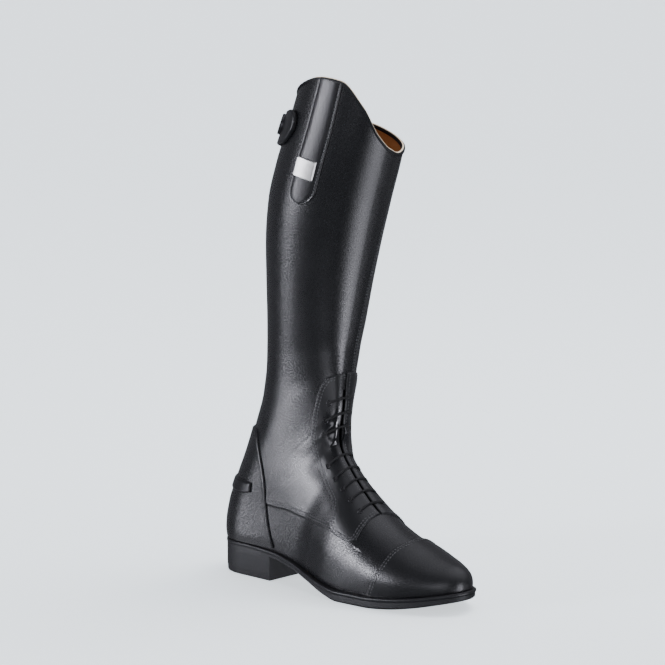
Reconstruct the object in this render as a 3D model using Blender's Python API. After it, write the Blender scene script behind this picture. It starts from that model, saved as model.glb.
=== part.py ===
"""Tall riding boot with a lace front for the right foot, built piece by piece.

Every length below is in millimetres. x runs from the back of the heel to the toe, y from
the outer side of the foot to its inner side, and z up from the floor.
"""

import bmesh
import bpy
import numpy as np

MM = 0.001
GAP = 0.3
SKIN_GAP = 0.65

# Sole: outline half-widths either side of its centre line, before the ends are rounded off.
SOLE_LENGTH = 289.0
TOE_SWING = 8.0
SWING_START = 130.0
HEEL_ROUND = 35.0
HEEL_SQUARE = 2.3
TOE_ROUND = 76.0
TOE_SQUARE = 2.2
OUTLINE_COLUMNS = ("x", "outer", "inner")
OUTLINE = (
    (0.0, 34.0, 32.0),
    (35.0, 34.0, 32.0),
    (75.0, 34.5, 29.5),
    (110.0, 38.0, 28.5),
    (145.0, 44.5, 34.0),
    (175.0, 49.0, 41.5),
    (205.0, 49.0, 45.0),
    (235.0, 46.0, 44.0),
    (289.0, 40.0, 40.0),
)

# Top of the sole along the foot, and the thickness of outsole and welt in front of the heel.
HEEL_BREAST = 74.0
FEATHER_COLUMNS = ("x", "z", "thick")
FEATHER = (
    (0.0, 31.0, 7.0),
    (40.0, 31.0, 7.0),
    (78.0, 29.5, 7.0),
    (105.0, 25.0, 7.0),
    (130.0, 18.5, 7.5),
    (155.0, 12.8, 9.4),
    (175.0, 10.8, 10.8),
    (205.0, 10.8, 10.8),
    (230.0, 12.0, 10.6),
    (255.0, 15.0, 10.0),
    (275.0, 18.4, 9.2),
    (289.0, 21.0, 8.8),
)

# Feather edge: how far the upper stands in from the edge of the sole.
FEATHER_INSET = 5.0
HEEL_INSET_SHARE = 0.4

# Foot sections, each from a point on the ridge down to the feather edge at low_x.
# bulge is how far the wall swells past the feather edge, widest its share of the way down.
FOOT_COLUMNS = ("top_x", "top_z", "low_x", "bulge_out", "bulge_in", "widest", "crown", "ridge")
FOOT = (
    (283.9, 20.9, 283.9, 0.0, 0.0, 0.75, 2.0, 8.0),
    (284.0, 27.6, 283.2, 0.2, 0.2, 0.75, 2.0, 7.8),
    (281.2, 34.8, 281.0, 0.5, 0.5, 0.75, 2.0, 7.6),
    (275.5, 39.6, 276.0, 1.0, 1.0, 0.75, 1.95, 7.0),
    (266.5, 43.0, 267.0, 1.2, 1.2, 0.75, 1.9, 6.0),
    (253.5, 47.6, 251.0, 1.3, 1.4, 0.74, 1.88, 4.0),
    (232.8, 56.4, 229.0, 1.3, 1.6, 0.72, 1.85, 1.0),
    (210.0, 66.8, 204.0, 1.3, 1.8, 0.72, 1.86, -3.0),
    (189.0, 81.0, 180.0, 1.5, 2.0, 0.72, 1.95, -6.0),
    (172.4, 97.6, 155.0, 2.0, 3.0, 0.72, 2.0, -8.0),
    (158.2, 113.5, 127.0, 2.5, 4.0, 0.7, 2.0, -8.4),
    (146.8, 127.8, 97.0, 2.5, 4.0, 0.66, 2.0, -8.0),
)

# Heel sections, fanned round the instep, whose lower ends walk round the heel's feather edge.
HEEL_COLUMNS = ("top_x", "top_z", "low_x", "half_out", "half_in", "widest", "square", "ridge")
HEEL = (
    (140.8, 140.0, 68.0, 33.8, 34.2, 0.64, 2.1, -7.0),
    (140.6, 150.0, 42.0, 33.4, 34.4, 0.62, 2.2, -6.2),
    (141.4, 157.0, 22.0, 33.3, 34.7, 0.61, 2.3, -5.8),
    (142.2, 162.5, 8.5, 33.4, 35.0, 0.6, 2.4, -5.4),
)

# Leg sections, closed round the back, each from the shin line to the back line.
LEG_COLUMNS = ("top_x", "top_z", "low_x", "low_z", "half", "widest", "square", "lean", "ridge")
LEG = (
    (142.7, 167.0, 2.0, 31.4, 34.7, 0.59, 2.5, 1.0, -5.2),
    (143.0, 171.5, 0.2, 47.0, 34.8, 0.58, 2.55, 1.8, -4.8),
    (143.0, 176.0, 2.8, 66.0, 35.0, 0.57, 2.45, 2.8, -4.2),
    (142.5, 181.5, 11.0, 90.0, 35.1, 0.56, 2.3, 4.0, -3.4),
    (141.8, 188.0, 21.5, 116.0, 35.5, 0.55, 2.2, 5.4, -2.2),
    (140.9, 196.0, 30.5, 143.0, 36.3, 0.53, 2.1, 7.0, -0.4),
    (139.9, 207.0, 38.5, 172.0, 37.6, 0.52, 2.0, 8.8, 2.0),
    (140.0, 224.0, 42.5, 204.0, 39.6, 0.51, 2.0, 10.6, 5.4),
    (143.0, 250.0, 43.0, 243.0, 43.2, 0.5, 2.0, 12.5, 9.4),
    (147.4, 282.0, 42.3, 282.0, 46.8, 0.5, 2.0, 14.0, 13.0),
    (155.0, 320.0, 41.5, 320.0, 50.4, 0.5, 2.0, 15.5, 15.5),
    (165.0, 360.0, 44.8, 360.0, 53.3, 0.5, 2.0, 17.0, 17.0),
    (175.5, 395.0, 54.6, 395.0, 53.7, 0.5, 2.0, 18.0, 18.0),
    (185.5, 430.0, 68.6, 430.0, 52.2, 0.5, 2.0, 18.5, 18.5),
    (196.0, 482.0, 88.0, 482.0, 49.0, 0.5, 2.0, 19.0, 19.0),
)
ROUND = 2.0

# Round of the heel at each height, where lean is its shift to the inner side.
BACK_COLUMNS = ("z", "half", "lean", "depth", "square")
BACK = (
    (31.0, 31.0, -1.0, 36.0, 2.3),
    (38.0, 32.6, -0.6, 36.0, 2.25),
    (47.0, 33.4, 0.0, 36.0, 2.15),
    (62.0, 33.6, 0.7, 37.5, 2.1),
    (90.0, 33.0, 0.7, 41.0, 2.0),
    (120.0, 34.0, 1.9, 46.0, 2.0),
    (150.0, 36.0, 4.4, 50.0, 2.1),
)
# Sections over which that round comes in and goes out, and how far down them it takes over.
HEEL_BLEND = (10.0, 13.5, 18.5, 22.0)
LOW_BLEND = (0.4, 0.85)

# Height of the collar round the leg, from the back seam over the outer side to the shin and on.
COLLAR_COLUMNS = ("turn", "z")
COLLAR = (
    (-1.0, 446.0),
    (-0.75, 466.0),
    (-0.5, 478.5),
    (-0.38, 476.0),
    (-0.22, 452.0),
    (-0.1, 425.0),
    (0.0, 412.0),
    (0.1, 407.0),
    (0.3, 413.0),
    (0.55, 425.0),
    (0.8, 437.0),
    (1.0, 446.0),
)
WALL = 2.0

# Gap between the upper's lower edge and the sole, and the layers of the sole.
FOOT_GAP = 0.4
WELT_THICK = 3.0
WELT_BEVEL = 0.8
OUTSOLE_INSET = 0.9
SOLE_TAPER = 1.2
TAPER_SHARE = 0.3
BREAST_SLOPE = 0.8
HEEL_STEPS = 7
TOE_STEPS = 9
WAIST_STEPS = 10
INSOLE_THICK = 2.5
INSOLE_CLEAR = 0.8

# Upper's grid: sections below and above the foot of the back opening, and columns on each side.
WALL_COLUMNS = 12
LOW_STATIONS = np.sort(np.concatenate([[0.0, 1.0], np.arange(2.0, 21.6, 0.5), [15.25, 15.75, 16.25]]))
LEG_LINES = 10
POLE_ROW = 0.4
STEP = 0.02
END_SHARE = 0.9995

# Throat and back opening: half-widths as turns, and the sections where the throat starts and ends.
SLIT_TURN = 0.03
BACK_TURN = 0.03
THROAT_ROW = 8.0
THROAT_TOP = 20.0

# Tongue under the throat.
TONGUE_STATIONS = np.concatenate([np.arange(7.5, 12.0, 0.5), np.arange(12.0, 21.5, 1.0)])
TONGUE_TURN = 0.19
TONGUE_COLUMNS = 6
TONGUE_LIFT = -2.9

# Toe cap seam: the section it follows at each turn.
CAP_THICK = 1.0
CAP_ACROSS = 19
CAP_LINES = 11
CAP_SEAM_COLUMNS = ("turn", "row")
CAP_SEAM = (
    (-1.0, 6.88),
    (-0.8, 6.68),
    (-0.6, 6.49),
    (-0.35, 6.4),
    (-0.1, 6.28),
    (0.15, 6.34),
    (0.3, 6.4),
    (0.6, 6.52),
    (1.0, 6.88),
)

# Heel counter, its front edge at each height, and the spur rest round it.
COUNTER_CLEAR = 1.0
COUNTER_THICK = 1.2
COUNTER_TOP = 141.5
COUNTER_LINES = 10
COUNTER_CROWD = 1.4
COUNTER_ACROSS = 19
COUNTER_COLUMNS = ("z", "front_x")
COUNTER_FRONT = (
    (30.0, 80.0),
    (60.0, 72.5),
    (90.0, 68.5),
    (115.0, 62.5),
    (132.0, 56.0),
    (150.0, 45.0),
)
SPUR_THICK = 2.0
SPUR_HEIGHTS = (81.0, 90.5)
SPUR_FRONT = 51.0

# Eyestays: how far down the side each reaches, as a turn, at each section.
STAY_THICK = 1.1
EYESTAY_BACK = 0.01
EYESTAY_STEPS = 6
EYESTAY_STATIONS = np.concatenate(
    [[7.85, 8.1, 8.5, 8.9, 9.2, 9.5, 9.8], np.arange(10.2, 13.0, 0.5), np.arange(13.0, 21.7, 1.0), [21.7]]
)
EYESTAY_COLUMNS = ("row", "far")
EYESTAY = (
    (7.85, 0.5),
    (8.1, 0.56),
    (9.2, 0.61),
    (9.5, 0.5),
    (9.8, 0.43),
    (10.5, 0.41),
    (11.5, 0.375),
    (13.5, 0.298),
    (16.0, 0.255),
    (19.5, 0.25),
    (21.0, 0.23),
    (21.7, 0.184),
)

# Lacing: the section of each bar and the turns of its two eyelets, from the toe up.
LACING_COLUMNS = ("row", "outer", "inner")
LACING = (
    (8.4, -0.232, 0.17),
    (9.0, -0.244, 0.18),
    (9.6, -0.252, 0.17),
    (10.25, -0.276, 0.17),
    (11.05, -0.28, 0.165),
    (13.75, -0.19, 0.135),
    (16.3, -0.16, 0.105),
    (18.95, -0.145, 0.095),
)
LACE_RADIUS = 1.15
LACE_CLEAR = 0.6
LACE_POINTS = 6
EYELET_HOLE = 1.7
EYELET_RIM = 2.9
EYELET_HIGH = 0.6
EYELET_SIDES = 6

# Strap sewn down the outer side of the leg, and the plain plate on it.
TAB_ROW = 27.05
TAB_TURN = -0.44
TAB_HALF = 0.07
TAB_ROUND = 0.13
TAB_LINES = (0.005, 0.02, 0.05, 0.09, 0.13, 0.3, 0.45, 0.6, 0.8, 1.0)
TAB_COLUMNS = 6
TAB_THICK = 1.3
TAB_BELOW_COLLAR = 0.14
PLATE_ROWS = (27.74, 28.28)
PLATE_TURNS = (-0.495, -0.405)
PLATE_THICK = 1.0

# Binding over the collar.
BIND_THICK = 0.7
BIND_DEEP = 4.5

# Zip up the back, with its slider at the top.
ZIP_FOOT = 172.0
ZIP_TOP = 438.0
ZIP_LINES = 16
ZIP_CLEAR = 1.4
TAPE_TURN = 0.075
TAPE_THICK = 0.6
CHAIN_TURN = 0.016
CHAIN_LIFT = 0.3
SLIDER_HEIGHTS = (418.0, 430.0)
SLIDER_TURN = 0.024
SLIDER_THICK = 2.0

# Tab that closes over the head of the zip, measured in turns from the shin round the outer side.
GUARD_ENDS = (0.57, 1.2)
GUARD_HEIGHTS = (433.0, 411.0)
GUARD_HALF = 15.0
GUARD_ROUND = 0.16
GUARD_TIP = 0.25
GUARD_COLUMNS = 14
GUARD_LINES = 4
GUARD_LIFT = 0.5
GUARD_BUMP = 2.6
GUARD_SWELL = 0.2
GUARD_THICK = 2.2
STUD_TURN = -0.775
STUD_HEIGHT = 429.0
STUD_RADIUS = 10.0
STUD_HIGH = 3.2
STUD_SIDES = 16

# Frame: the middle of the boot's plan, and each finish as colour, roughness and metallic.
FRAME = "boot"
MIDDLE_X = 143.53
MIDDLE_Y = 12.18
SHARP_ANGLE = 0.7
UP_HINT = (0.3, 0.1, 1.0)
FINISHES = {
    "leather": ((0.022, 0.023, 0.026), 0.42, 0.0),
    "patent": ((0.024, 0.025, 0.028), 0.22, 0.0),
    "tongue": ((0.03, 0.031, 0.034), 0.15, 0.0),
    "rubber": ((0.045, 0.045, 0.048), 0.6, 0.0),
    "welt": ((0.05, 0.05, 0.053), 0.45, 0.0),
    "lining": ((0.36, 0.2, 0.1), 0.8, 0.0),
    "lace": ((0.015, 0.015, 0.016), 0.7, 0.0),
    "eyelet": ((0.02, 0.02, 0.022), 0.3, 0.8),
    "steel": ((0.75, 0.75, 0.74), 0.25, 1.0),
    "binding": ((0.02, 0.02, 0.022), 0.5, 0.0),
    "zip": ((0.018, 0.018, 0.02), 0.5, 0.0),
    "stud": ((0.05, 0.05, 0.055), 0.3, 0.9),
}


def column(table, columns, name):
    """One named column of a table as an array."""
    return np.array([row[columns.index(name)] for row in table], float)


def slopes(stations, values):
    """Slopes of a curve through the values that never swings past them."""
    width = np.diff(stations)
    rise = np.diff(values) / width
    found = np.zeros(len(values))
    for i in range(1, len(values) - 1):
        if rise[i - 1] * rise[i] > 0:
            before, after = 2 * width[i] + width[i - 1], width[i] + 2 * width[i - 1]
            found[i] = (before + after) / (before / rise[i - 1] + after / rise[i])
    found[0], found[-1] = rise[0], rise[-1]
    return found


def through(stations, values, at):
    """A smooth curve through the values at the stations, read at one place."""
    at = min(max(at, stations[0]), stations[-1])
    slope = slopes(stations, values)
    i = int(min(max(np.searchsorted(stations, at) - 1, 0), len(stations) - 2))
    width = stations[i + 1] - stations[i]
    u = (at - stations[i]) / width
    return (
        values[i] * (1 + 2 * u) * (1 - u) ** 2
        + values[i + 1] * u * u * (3 - 2 * u)
        + slope[i] * width * u * (1 - u) ** 2
        + slope[i + 1] * width * u * u * (u - 1)
    )


def look_up(table, columns, key, name, at):
    """The named column of a table, read smoothly at a place in its key column."""
    return through(column(table, columns, key), column(table, columns, name), at)


def edge_at(table, columns, key, name, at):
    """The named column of a table, read along straight lines between its rows."""
    return float(np.interp(at, column(table, columns, key), column(table, columns, name)))


def ease(u):
    """A smooth step from 0 to 1."""
    u = min(max(u, 0.0), 1.0)
    return u * u * (3 - 2 * u)


def centre_line(x):
    """The sole's centre line, which swings to the inner side towards the toe."""
    return TOE_SWING * ease((x - SWING_START) / (SOLE_LENGTH - SWING_START))


def end_round(x, back, tip):
    """1 along the middle of the sole, falling to 0 round the heel and the toe."""
    share = 1.0
    if x < back + HEEL_ROUND:
        u = min((back + HEEL_ROUND - x) / HEEL_ROUND, 1.0)
        share *= (1 - u**HEEL_SQUARE) ** (1 / HEEL_SQUARE)
    if x > tip - TOE_ROUND:
        u = min((x - tip + TOE_ROUND) / TOE_ROUND, 1.0)
        share *= (1 - u**TOE_SQUARE) ** 0.5
    return share


def sole_edge(x, side, inset, extra=0.0):
    """y of the sole's edge at x on one side, drawn in by inset and evenly by extra."""
    back = inset * HEEL_INSET_SHARE + extra
    tip = SOLE_LENGTH - inset - extra
    drawn = inset * (HEEL_INSET_SHARE + (1 - HEEL_INSET_SHARE) * ease(x / SWING_START)) + extra
    half = look_up(OUTLINE, OUTLINE_COLUMNS, "x", side, x) - drawn
    sign = -1 if side == "outer" else 1
    return centre_line(x) + sign * half * end_round(x, back, tip)


def feather_z(x):
    """Height of the sole's upper face at x."""
    return look_up(FEATHER, FEATHER_COLUMNS, "x", "z", x)


def seats(x):
    """Half-widths of the feather edge at x, outer then inner, from the sole's centre line."""
    middle = centre_line(x)
    return middle - sole_edge(x, "outer", FEATHER_INSET), sole_edge(x, "inner", FEATHER_INSET) - middle


def section_rows():
    """All sections of the last in one list, from the toe tip to the top of the leg."""
    rows = []
    for values in FOOT:
        row = dict(zip(FOOT_COLUMNS, values))
        x = row["low_x"]
        out, inn = seats(x)
        halves = (out + row["bulge_out"], inn + row["bulge_in"], out, inn)
        shape = (row["widest"], row["crown"], ROUND, centre_line(x), row["ridge"])
        rows.append((row["top_x"], row["top_z"], x, feather_z(x) + FOOT_GAP, *halves, *shape))
    for values in HEEL:
        row = dict(zip(HEEL_COLUMNS, values))
        x = row["low_x"]
        halves = (row["half_out"], row["half_in"], *seats(x))
        shape = (row["widest"], ROUND, row["square"], centre_line(x), row["ridge"])
        rows.append((row["top_x"], row["top_z"], x, feather_z(x) + FOOT_GAP, *halves, *shape))
    for values in LEG:
        row = dict(zip(LEG_COLUMNS, values))
        halves = (row["half"], row["half"], 0.0, 0.0)
        shape = (row["widest"], ROUND, row["square"], row["lean"], row["ridge"])
        rows.append((row["top_x"], row["top_z"], row["low_x"], row["low_z"], *halves, *shape))
    return np.array(rows)


ROWS = section_rows()
STATIONS = np.arange(len(ROWS), dtype=float)
LAST_ROW = len(ROWS) - 1
FIRST_HEEL_ROW = len(FOOT) - 1
FIRST_LEG_ROW = len(FOOT) + len(HEEL)


def back_line(z):
    """x of the back line at height z."""
    return through(ROWS[FIRST_LEG_ROW:, 3], ROWS[FIRST_LEG_ROW:, 2], z)


def row_at(r):
    """Section values at a place between the rows."""
    values = [through(STATIONS, ROWS[:, k], r) for k in range(ROWS.shape[1])]
    if r > FIRST_LEG_ROW:
        values[2] = back_line(values[3])
    return values


def share_down(r, t):
    """How far down its section a point lies; the spacing draws in at both ends of a closed one."""
    closed = ease((r - FIRST_HEEL_ROW) / (FIRST_LEG_ROW - FIRST_HEEL_ROW))
    turn = np.pi * min(abs(t), 1.0)
    return (1 - closed) * (1 - np.cos(turn / 2)) + closed * (1 - np.cos(turn)) / 2


def heel_offset(x, z, side):
    """y of the heel's face at x, z, on the outer (-1) or inner (1) side."""
    half, lean, depth, square = [look_up(BACK, BACK_COLUMNS, "z", name, z) for name in BACK_COLUMNS[1:]]
    into = min(max((back_line(z) + depth - x) / depth, 0.0), 1.0)
    return lean + side * half * (1 - into**square) ** (1 / square)


def last_point(r, t):
    """Point of the upper's outer face: r along the sections, t from -1 outside over 0 to 1 inside."""
    top_x, top_z, low_x, low_z, out, inn, seat_out, seat_in, widest, crown, square, lean, ridge = row_at(r)
    half, seat = (-out, seat_out) if t < 0 else (inn, seat_in)
    down = share_down(r, t)
    x, z = top_x + (low_x - top_x) * down, top_z + (low_z - top_z) * down
    if down <= widest:
        reach = max(1 - (1 - down / widest) ** crown, 0.0) ** (1 / crown)
        y = ridge + (lean + half - ridge) * reach
    else:
        left = min(max(seat, 0.0) / max(abs(half), 0.001), 0.999)
        fall = (1 - left**square) * ((down - widest) / (1 - widest)) ** square
        y = lean + half * max(1 - fall, 0.0) ** (1 / square)
    start, full, fading, gone = HEEL_BLEND
    share = ease((r - start) / (full - start)) * (1 - ease((r - fading) / (gone - fading)))
    share *= ease((down - LOW_BLEND[0]) / (LOW_BLEND[1] - LOW_BLEND[0]))
    if share > 0:
        y += share * (heel_offset(x, z, -1 if t < 0 else 1) - y)
    return np.array([x, y, z])


def solve(rising, low, high):
    """Where a rising function crosses zero between low and high."""
    for _ in range(40):
        middle = (low + high) / 2
        if rising(middle) < 0:
            low = middle
        else:
            high = middle
    return (low + high) / 2


def normal_at(r, t):
    """Outward direction of the upper's face, from small steps along it."""
    r = min(max(r, POLE_ROW), LAST_ROW - STEP)
    along = last_point(r + STEP, t) - last_point(r - STEP, t)
    across = last_point(r, min(t + STEP, 1.0)) - last_point(r, max(t - STEP, -1.0))
    direction = np.cross(across, along)
    return direction / np.linalg.norm(direction)


def lifted(r, t, lift):
    """Point above the upper's outer face, or below it where lift is negative."""
    point = last_point(r, t)
    direction = normal_at(r, t)
    if abs(t) == 1.0 and r >= FIRST_LEG_ROW:
        direction = direction + normal_at(r, -t)
        direction[1] = 0.0
        direction = direction / np.linalg.norm(direction)
    raised = point + lift * direction
    if abs(t) == 1.0 and r <= FIRST_LEG_ROW:
        raised[2] = feather_z(raised[0]) + FOOT_GAP
    return raised


def leg_row(t, z):
    """The section on which the leg reaches height z at turn t."""
    return solve(lambda r: last_point(r, t)[2] - z, FIRST_LEG_ROW, LAST_ROW)


def collar_row(t):
    """The section of the collar at turn t."""
    return leg_row(t, look_up(COLLAR, COLLAR_COLUMNS, "turn", "z", t))


def place(x, z, side):
    """Section and turn of the point of the heel or leg that is seen at x, z from one side."""

    def past(r):
        top_x, top_z, low_x, low_z = row_at(r)[:4]
        return (low_x - top_x) * (z - top_z) - (low_z - top_z) * (x - top_x)

    r = solve(past, FIRST_HEEL_ROW - 2, LAST_ROW)
    top_x, top_z, low_x, low_z = row_at(r)[:4]
    run_x, run_z = low_x - top_x, low_z - top_z
    share = ((x - top_x) * run_x + (z - top_z) * run_z) / (run_x**2 + run_z**2)
    if share > END_SHARE:
        return r, float(side)
    return r, side * solve(lambda t: share_down(r, t) - share, 0.0, 1.0)


def foot_place(x, side):
    """Section and turn of the point of the upper's lower edge at x, behind the waist."""
    r = solve(lambda r: x - row_at(r)[2], FIRST_HEEL_ROW - 2, FIRST_LEG_ROW)
    return r, float(side)


def lift_grid(places, lift):
    """Points over a grid of sections and turns, all at one height."""
    return np.array([[lifted(r, t, lift) for r, t in line] for line in places])


def collar_columns():
    """Turns of the upper's columns above the foot of the back opening."""
    share = np.linspace(0, 1, WALL_COLUMNS)
    half = SLIT_TURN + (1 - BACK_TURN - SLIT_TURN) * share
    return np.concatenate([-half[::-1], half])


def upper_places():
    """Sections and turns of the upper's grid, line by line from the toe to the collar."""
    share = np.linspace(0, 1, WALL_COLUMNS)
    closed = SLIT_TURN + (1 - SLIT_TURN) * share
    closed_turns = np.concatenate([-closed[::-1], closed])
    lines = [[(r, t) for t in closed_turns] for r in LOW_STATIONS]
    turns = collar_columns()
    tops = [collar_row(t) for t in turns]
    for k in range(1, LEG_LINES + 1):
        rise = k / LEG_LINES
        lines.append([(LOW_STATIONS[-1] + (top - LOW_STATIONS[-1]) * rise, t) for t, top in zip(turns, tops)])
    return lines


def sole_stations():
    """Places along the sole, close together round the ends and on either side of the heel's breast."""
    heel = HEEL_ROUND * (1 - np.cos(np.linspace(0, np.pi / 2, HEEL_STEPS)))
    toe = SOLE_LENGTH - TOE_ROUND * (1 - np.sin(np.linspace(0, np.pi / 2, TOE_STEPS)))
    back = np.linspace(HEEL_ROUND, HEEL_BREAST, 4)[1:]
    front = np.linspace(HEEL_BREAST + BREAST_SLOPE, toe[0], WAIST_STEPS)[:-1]
    return np.concatenate([heel, back, front, toe])


def sole_ring(inset, height, extra=0.0):
    """One loop round the sole, drawn in by inset, at the height given for each place along it."""
    stations = sole_stations()
    back = inset * HEEL_INSET_SHARE + extra
    length = SOLE_LENGTH - inset - extra - back
    places = [(x, back + length * x / SOLE_LENGTH) for x in stations]
    outer = [(at, sole_edge(at, "outer", inset, extra), height(x)) for x, at in places]
    inner = [(at, sole_edge(at, "inner", inset, extra), height(x)) for x, at in places]
    return np.array(outer + inner[-2:0:-1])


def tread_z(x):
    """Underside of the sole: the heel stands on the floor behind its breast."""
    if x <= HEEL_BREAST:
        return 0.0
    return max(feather_z(x) - look_up(FEATHER, FEATHER_COLUMNS, "x", "thick", x), 0.0)


# Assembly: each piece is added as one closed body on the frame.
def clear_scene():
    """Start from an empty scene."""
    for item in list(bpy.data.objects):
        bpy.data.objects.remove(item)


def make_material(name, color, roughness, metallic):
    """A plain finish from its colour, roughness and metallic."""
    material = bpy.data.materials.new(name)
    material.use_nodes = True
    shader = material.node_tree.nodes["Principled BSDF"]
    shader.inputs["Base Color"].default_value = (*color, 1.0)
    shader.inputs["Roughness"].default_value = roughness
    shader.inputs["Metallic"].default_value = metallic
    return material


def add_piece(name, item, finish):
    """Hang a finished object on the frame and give it a material of its own."""
    item.data.materials.append(make_material(name, *FINISHES[finish]))
    item.parent = bpy.data.objects[FRAME]
    bpy.context.collection.objects.link(item)


def add_mesh(name, points, faces, finish):
    """A closed mesh from points in millimetres and faces between them."""
    work = bmesh.new()
    corners = {}
    for face in faces:
        loop = []
        for k in face:
            if k not in corners:
                corners[k] = work.verts.new([c * MM for c in points[k]])
            if corners[k] not in loop:
                loop.append(corners[k])
        if len(loop) > 2:
            work.faces.new(loop)
    bmesh.ops.recalc_face_normals(work, faces=work.faces)
    mesh = bpy.data.meshes.new(name)
    work.to_mesh(mesh)
    work.free()
    mesh.shade_smooth()
    mesh.set_sharp_from_angle(angle=SHARP_ANGLE)
    add_piece(name, bpy.data.objects.new(name, mesh), finish)


def grid_faces(ids, holes=(), wrap=False):
    """Four-sided faces over a grid of point numbers, wrapped round its columns if asked."""
    rows, columns = ids.shape
    faces = []
    for i in range(rows - 1):
        for j in range(columns if wrap else columns - 1):
            if (i, j) not in holes:
                k = (j + 1) % columns
                faces.append((ids[i, j], ids[i + 1, j], ids[i + 1, k], ids[i, k]))
    return faces


def add_sheet(name, outer, inner, finish, ids=None, holes=()):
    """A sheet with thickness: two grids of points, joined along every free edge."""
    count = outer.shape[0] * outer.shape[1]
    if ids is None:
        ids = np.arange(count).reshape(outer.shape[:2])
    faces = [tuple(dict.fromkeys(int(k) for k in face)) for face in grid_faces(ids, holes)]
    uses = {}
    for face in faces:
        for pair in zip(face, face[1:] + face[:1]):
            key = tuple(sorted(pair))
            uses[key] = uses.get(key, 0) + 1
    rim = [(a, b, b + count, a + count) for (a, b), n in uses.items() if n == 1]
    under = [tuple(k + count for k in face[::-1]) for face in faces]
    points = np.concatenate([outer.reshape(-1, 3), inner.reshape(-1, 3)])
    add_mesh(name, points, faces + under + rim, finish)


def add_stack(name, rings, finish):
    """A slab from loops of points one above another, closed by strips across its ends."""
    size = len(rings[0])
    half = size // 2
    points = np.concatenate(rings)
    ids = np.arange(len(points)).reshape(len(rings), size)
    faces = grid_faces(ids, wrap=True)
    for ring in (ids[0], ids[-1]):
        for i in range(half):
            faces.append((ring[i], ring[i + 1], ring[-i - 1], ring[-i % size]))
    add_mesh(name, points, faces, finish)


def add_sweep(name, sections, caps, finish):
    """A closed bar through sections of points, with its two ends closed by the faces in caps."""
    size = len(sections[0])
    points = np.concatenate(sections)
    ids = np.arange(len(points)).reshape(len(sections), size)
    faces = grid_faces(ids, wrap=True)
    for end in (ids[0], ids[-1]):
        faces += [tuple(end[k] for k in cap) for cap in caps]
    add_mesh(name, points, faces, finish)


def add_turned(name, centre, axis, profile, sides, finish):
    """A turned piece on an axis, from a closed loop of radius and height."""
    side = np.cross(axis, UP_HINT)
    side = side / np.linalg.norm(side)
    other = np.cross(axis, side)
    sections = []
    for k in range(sides):
        angle = 2 * np.pi * k / sides
        out = np.cos(angle) * side + np.sin(angle) * other
        sections.append([centre + radius * out + height * axis for radius, height in profile])
    points = np.array(sections).reshape(-1, 3)
    ids = np.arange(len(points)).reshape(sides, len(profile))
    for j, (radius, _) in enumerate(profile):
        if radius == 0.0:
            ids[:, j] = ids[0, j]
    faces = grid_faces(np.concatenate([ids, ids[:1]]), wrap=True)
    add_mesh(name, points, faces, finish)


def build_sole():
    """Outsole with its heel block, welt and insole."""

    def under_welt(x):
        return feather_z(x) - WELT_THICK - GAP

    add_stack("outsole", [
        sole_ring(OUTSOLE_INSET + SOLE_TAPER, tread_z),
        sole_ring(OUTSOLE_INSET, lambda x: tread_z(x) + (under_welt(x) - tread_z(x)) * TAPER_SHARE),
        sole_ring(OUTSOLE_INSET, under_welt),
    ], "rubber")
    add_stack("welt", [
        sole_ring(0.0, lambda x: feather_z(x) - WELT_THICK),
        sole_ring(0.0, lambda x: feather_z(x) - WELT_BEVEL),
        sole_ring(WELT_BEVEL, feather_z),
    ], "welt")
    clear = WALL + INSOLE_CLEAR
    add_stack("insole", [
        sole_ring(FEATHER_INSET, lambda x: feather_z(x) + FOOT_GAP, clear),
        sole_ring(FEATHER_INSET, lambda x: feather_z(x) + FOOT_GAP + INSOLE_THICK, clear),
    ], "lining")


def build_upper():
    """The upper's wall, open underneath, at the collar, down the throat and up the back."""
    places = upper_places()
    columns = 2 * WALL_COLUMNS
    ids = np.arange(len(places) * columns).reshape(len(places), columns)
    ids[0, :] = ids[0, 0]
    for i, line in enumerate(places):
        if line[-1][1] == 1.0 and line[-1][0] >= FIRST_LEG_ROW:
            ids[i, -1] = ids[i, 0]
    slit = [i for i, line in enumerate(places) if THROAT_ROW <= line[WALL_COLUMNS][0] < THROAT_TOP]
    holes = {(i, WALL_COLUMNS - 1) for i in slit}
    add_sheet("upper", lift_grid(places, 0.0), lift_grid(places, -WALL), "leather", ids, holes)


def strip_places(stations, near, far, columns):
    """Sections and turns of a strip that runs along the sections between two edges."""
    return [[(r, t) for t in np.linspace(near(r), far(r), columns)] for r in stations]


def build_tongue():
    """Tongue behind the throat."""
    places = strip_places(TONGUE_STATIONS, lambda r: -TONGUE_TURN, lambda r: TONGUE_TURN, TONGUE_COLUMNS)
    add_sheet("tongue", lift_grid(places, TONGUE_LIFT), lift_grid(places, TONGUE_LIFT - WALL), "tongue")


def build_toe_cap():
    """Cap over the toe, from the seam forward to the tip."""
    turns = np.linspace(-1, 1, CAP_ACROSS)
    seam = [look_up(CAP_SEAM, CAP_SEAM_COLUMNS, "turn", "row", t) for t in turns]
    places = [[(q * end, t) for t, end in zip(turns, seam)] for q in np.linspace(0, 1, CAP_LINES)]
    ids = np.arange(CAP_LINES * CAP_ACROSS).reshape(CAP_LINES, CAP_ACROSS)
    ids[0, :] = ids[0, 0]
    add_sheet("toe_cap", lift_grid(places, SKIN_GAP + CAP_THICK), lift_grid(places, SKIN_GAP), "leather", ids)


def heel_places(levels, front, columns):
    """Sections and turns of a band round the heel, from one front edge over the back to the other."""
    lines = []
    for level in levels:
        line = []
        for u in np.linspace(-1, 1, columns):
            z = level(HEEL_BREAST * u * u)
            back = back_line(z)
            x = back + (front(z) - back) * u * u
            z = level(x)
            line.append(place(x, z, -1 if u < 0 else 1))
        lines.append(line)
    return lines


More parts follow.
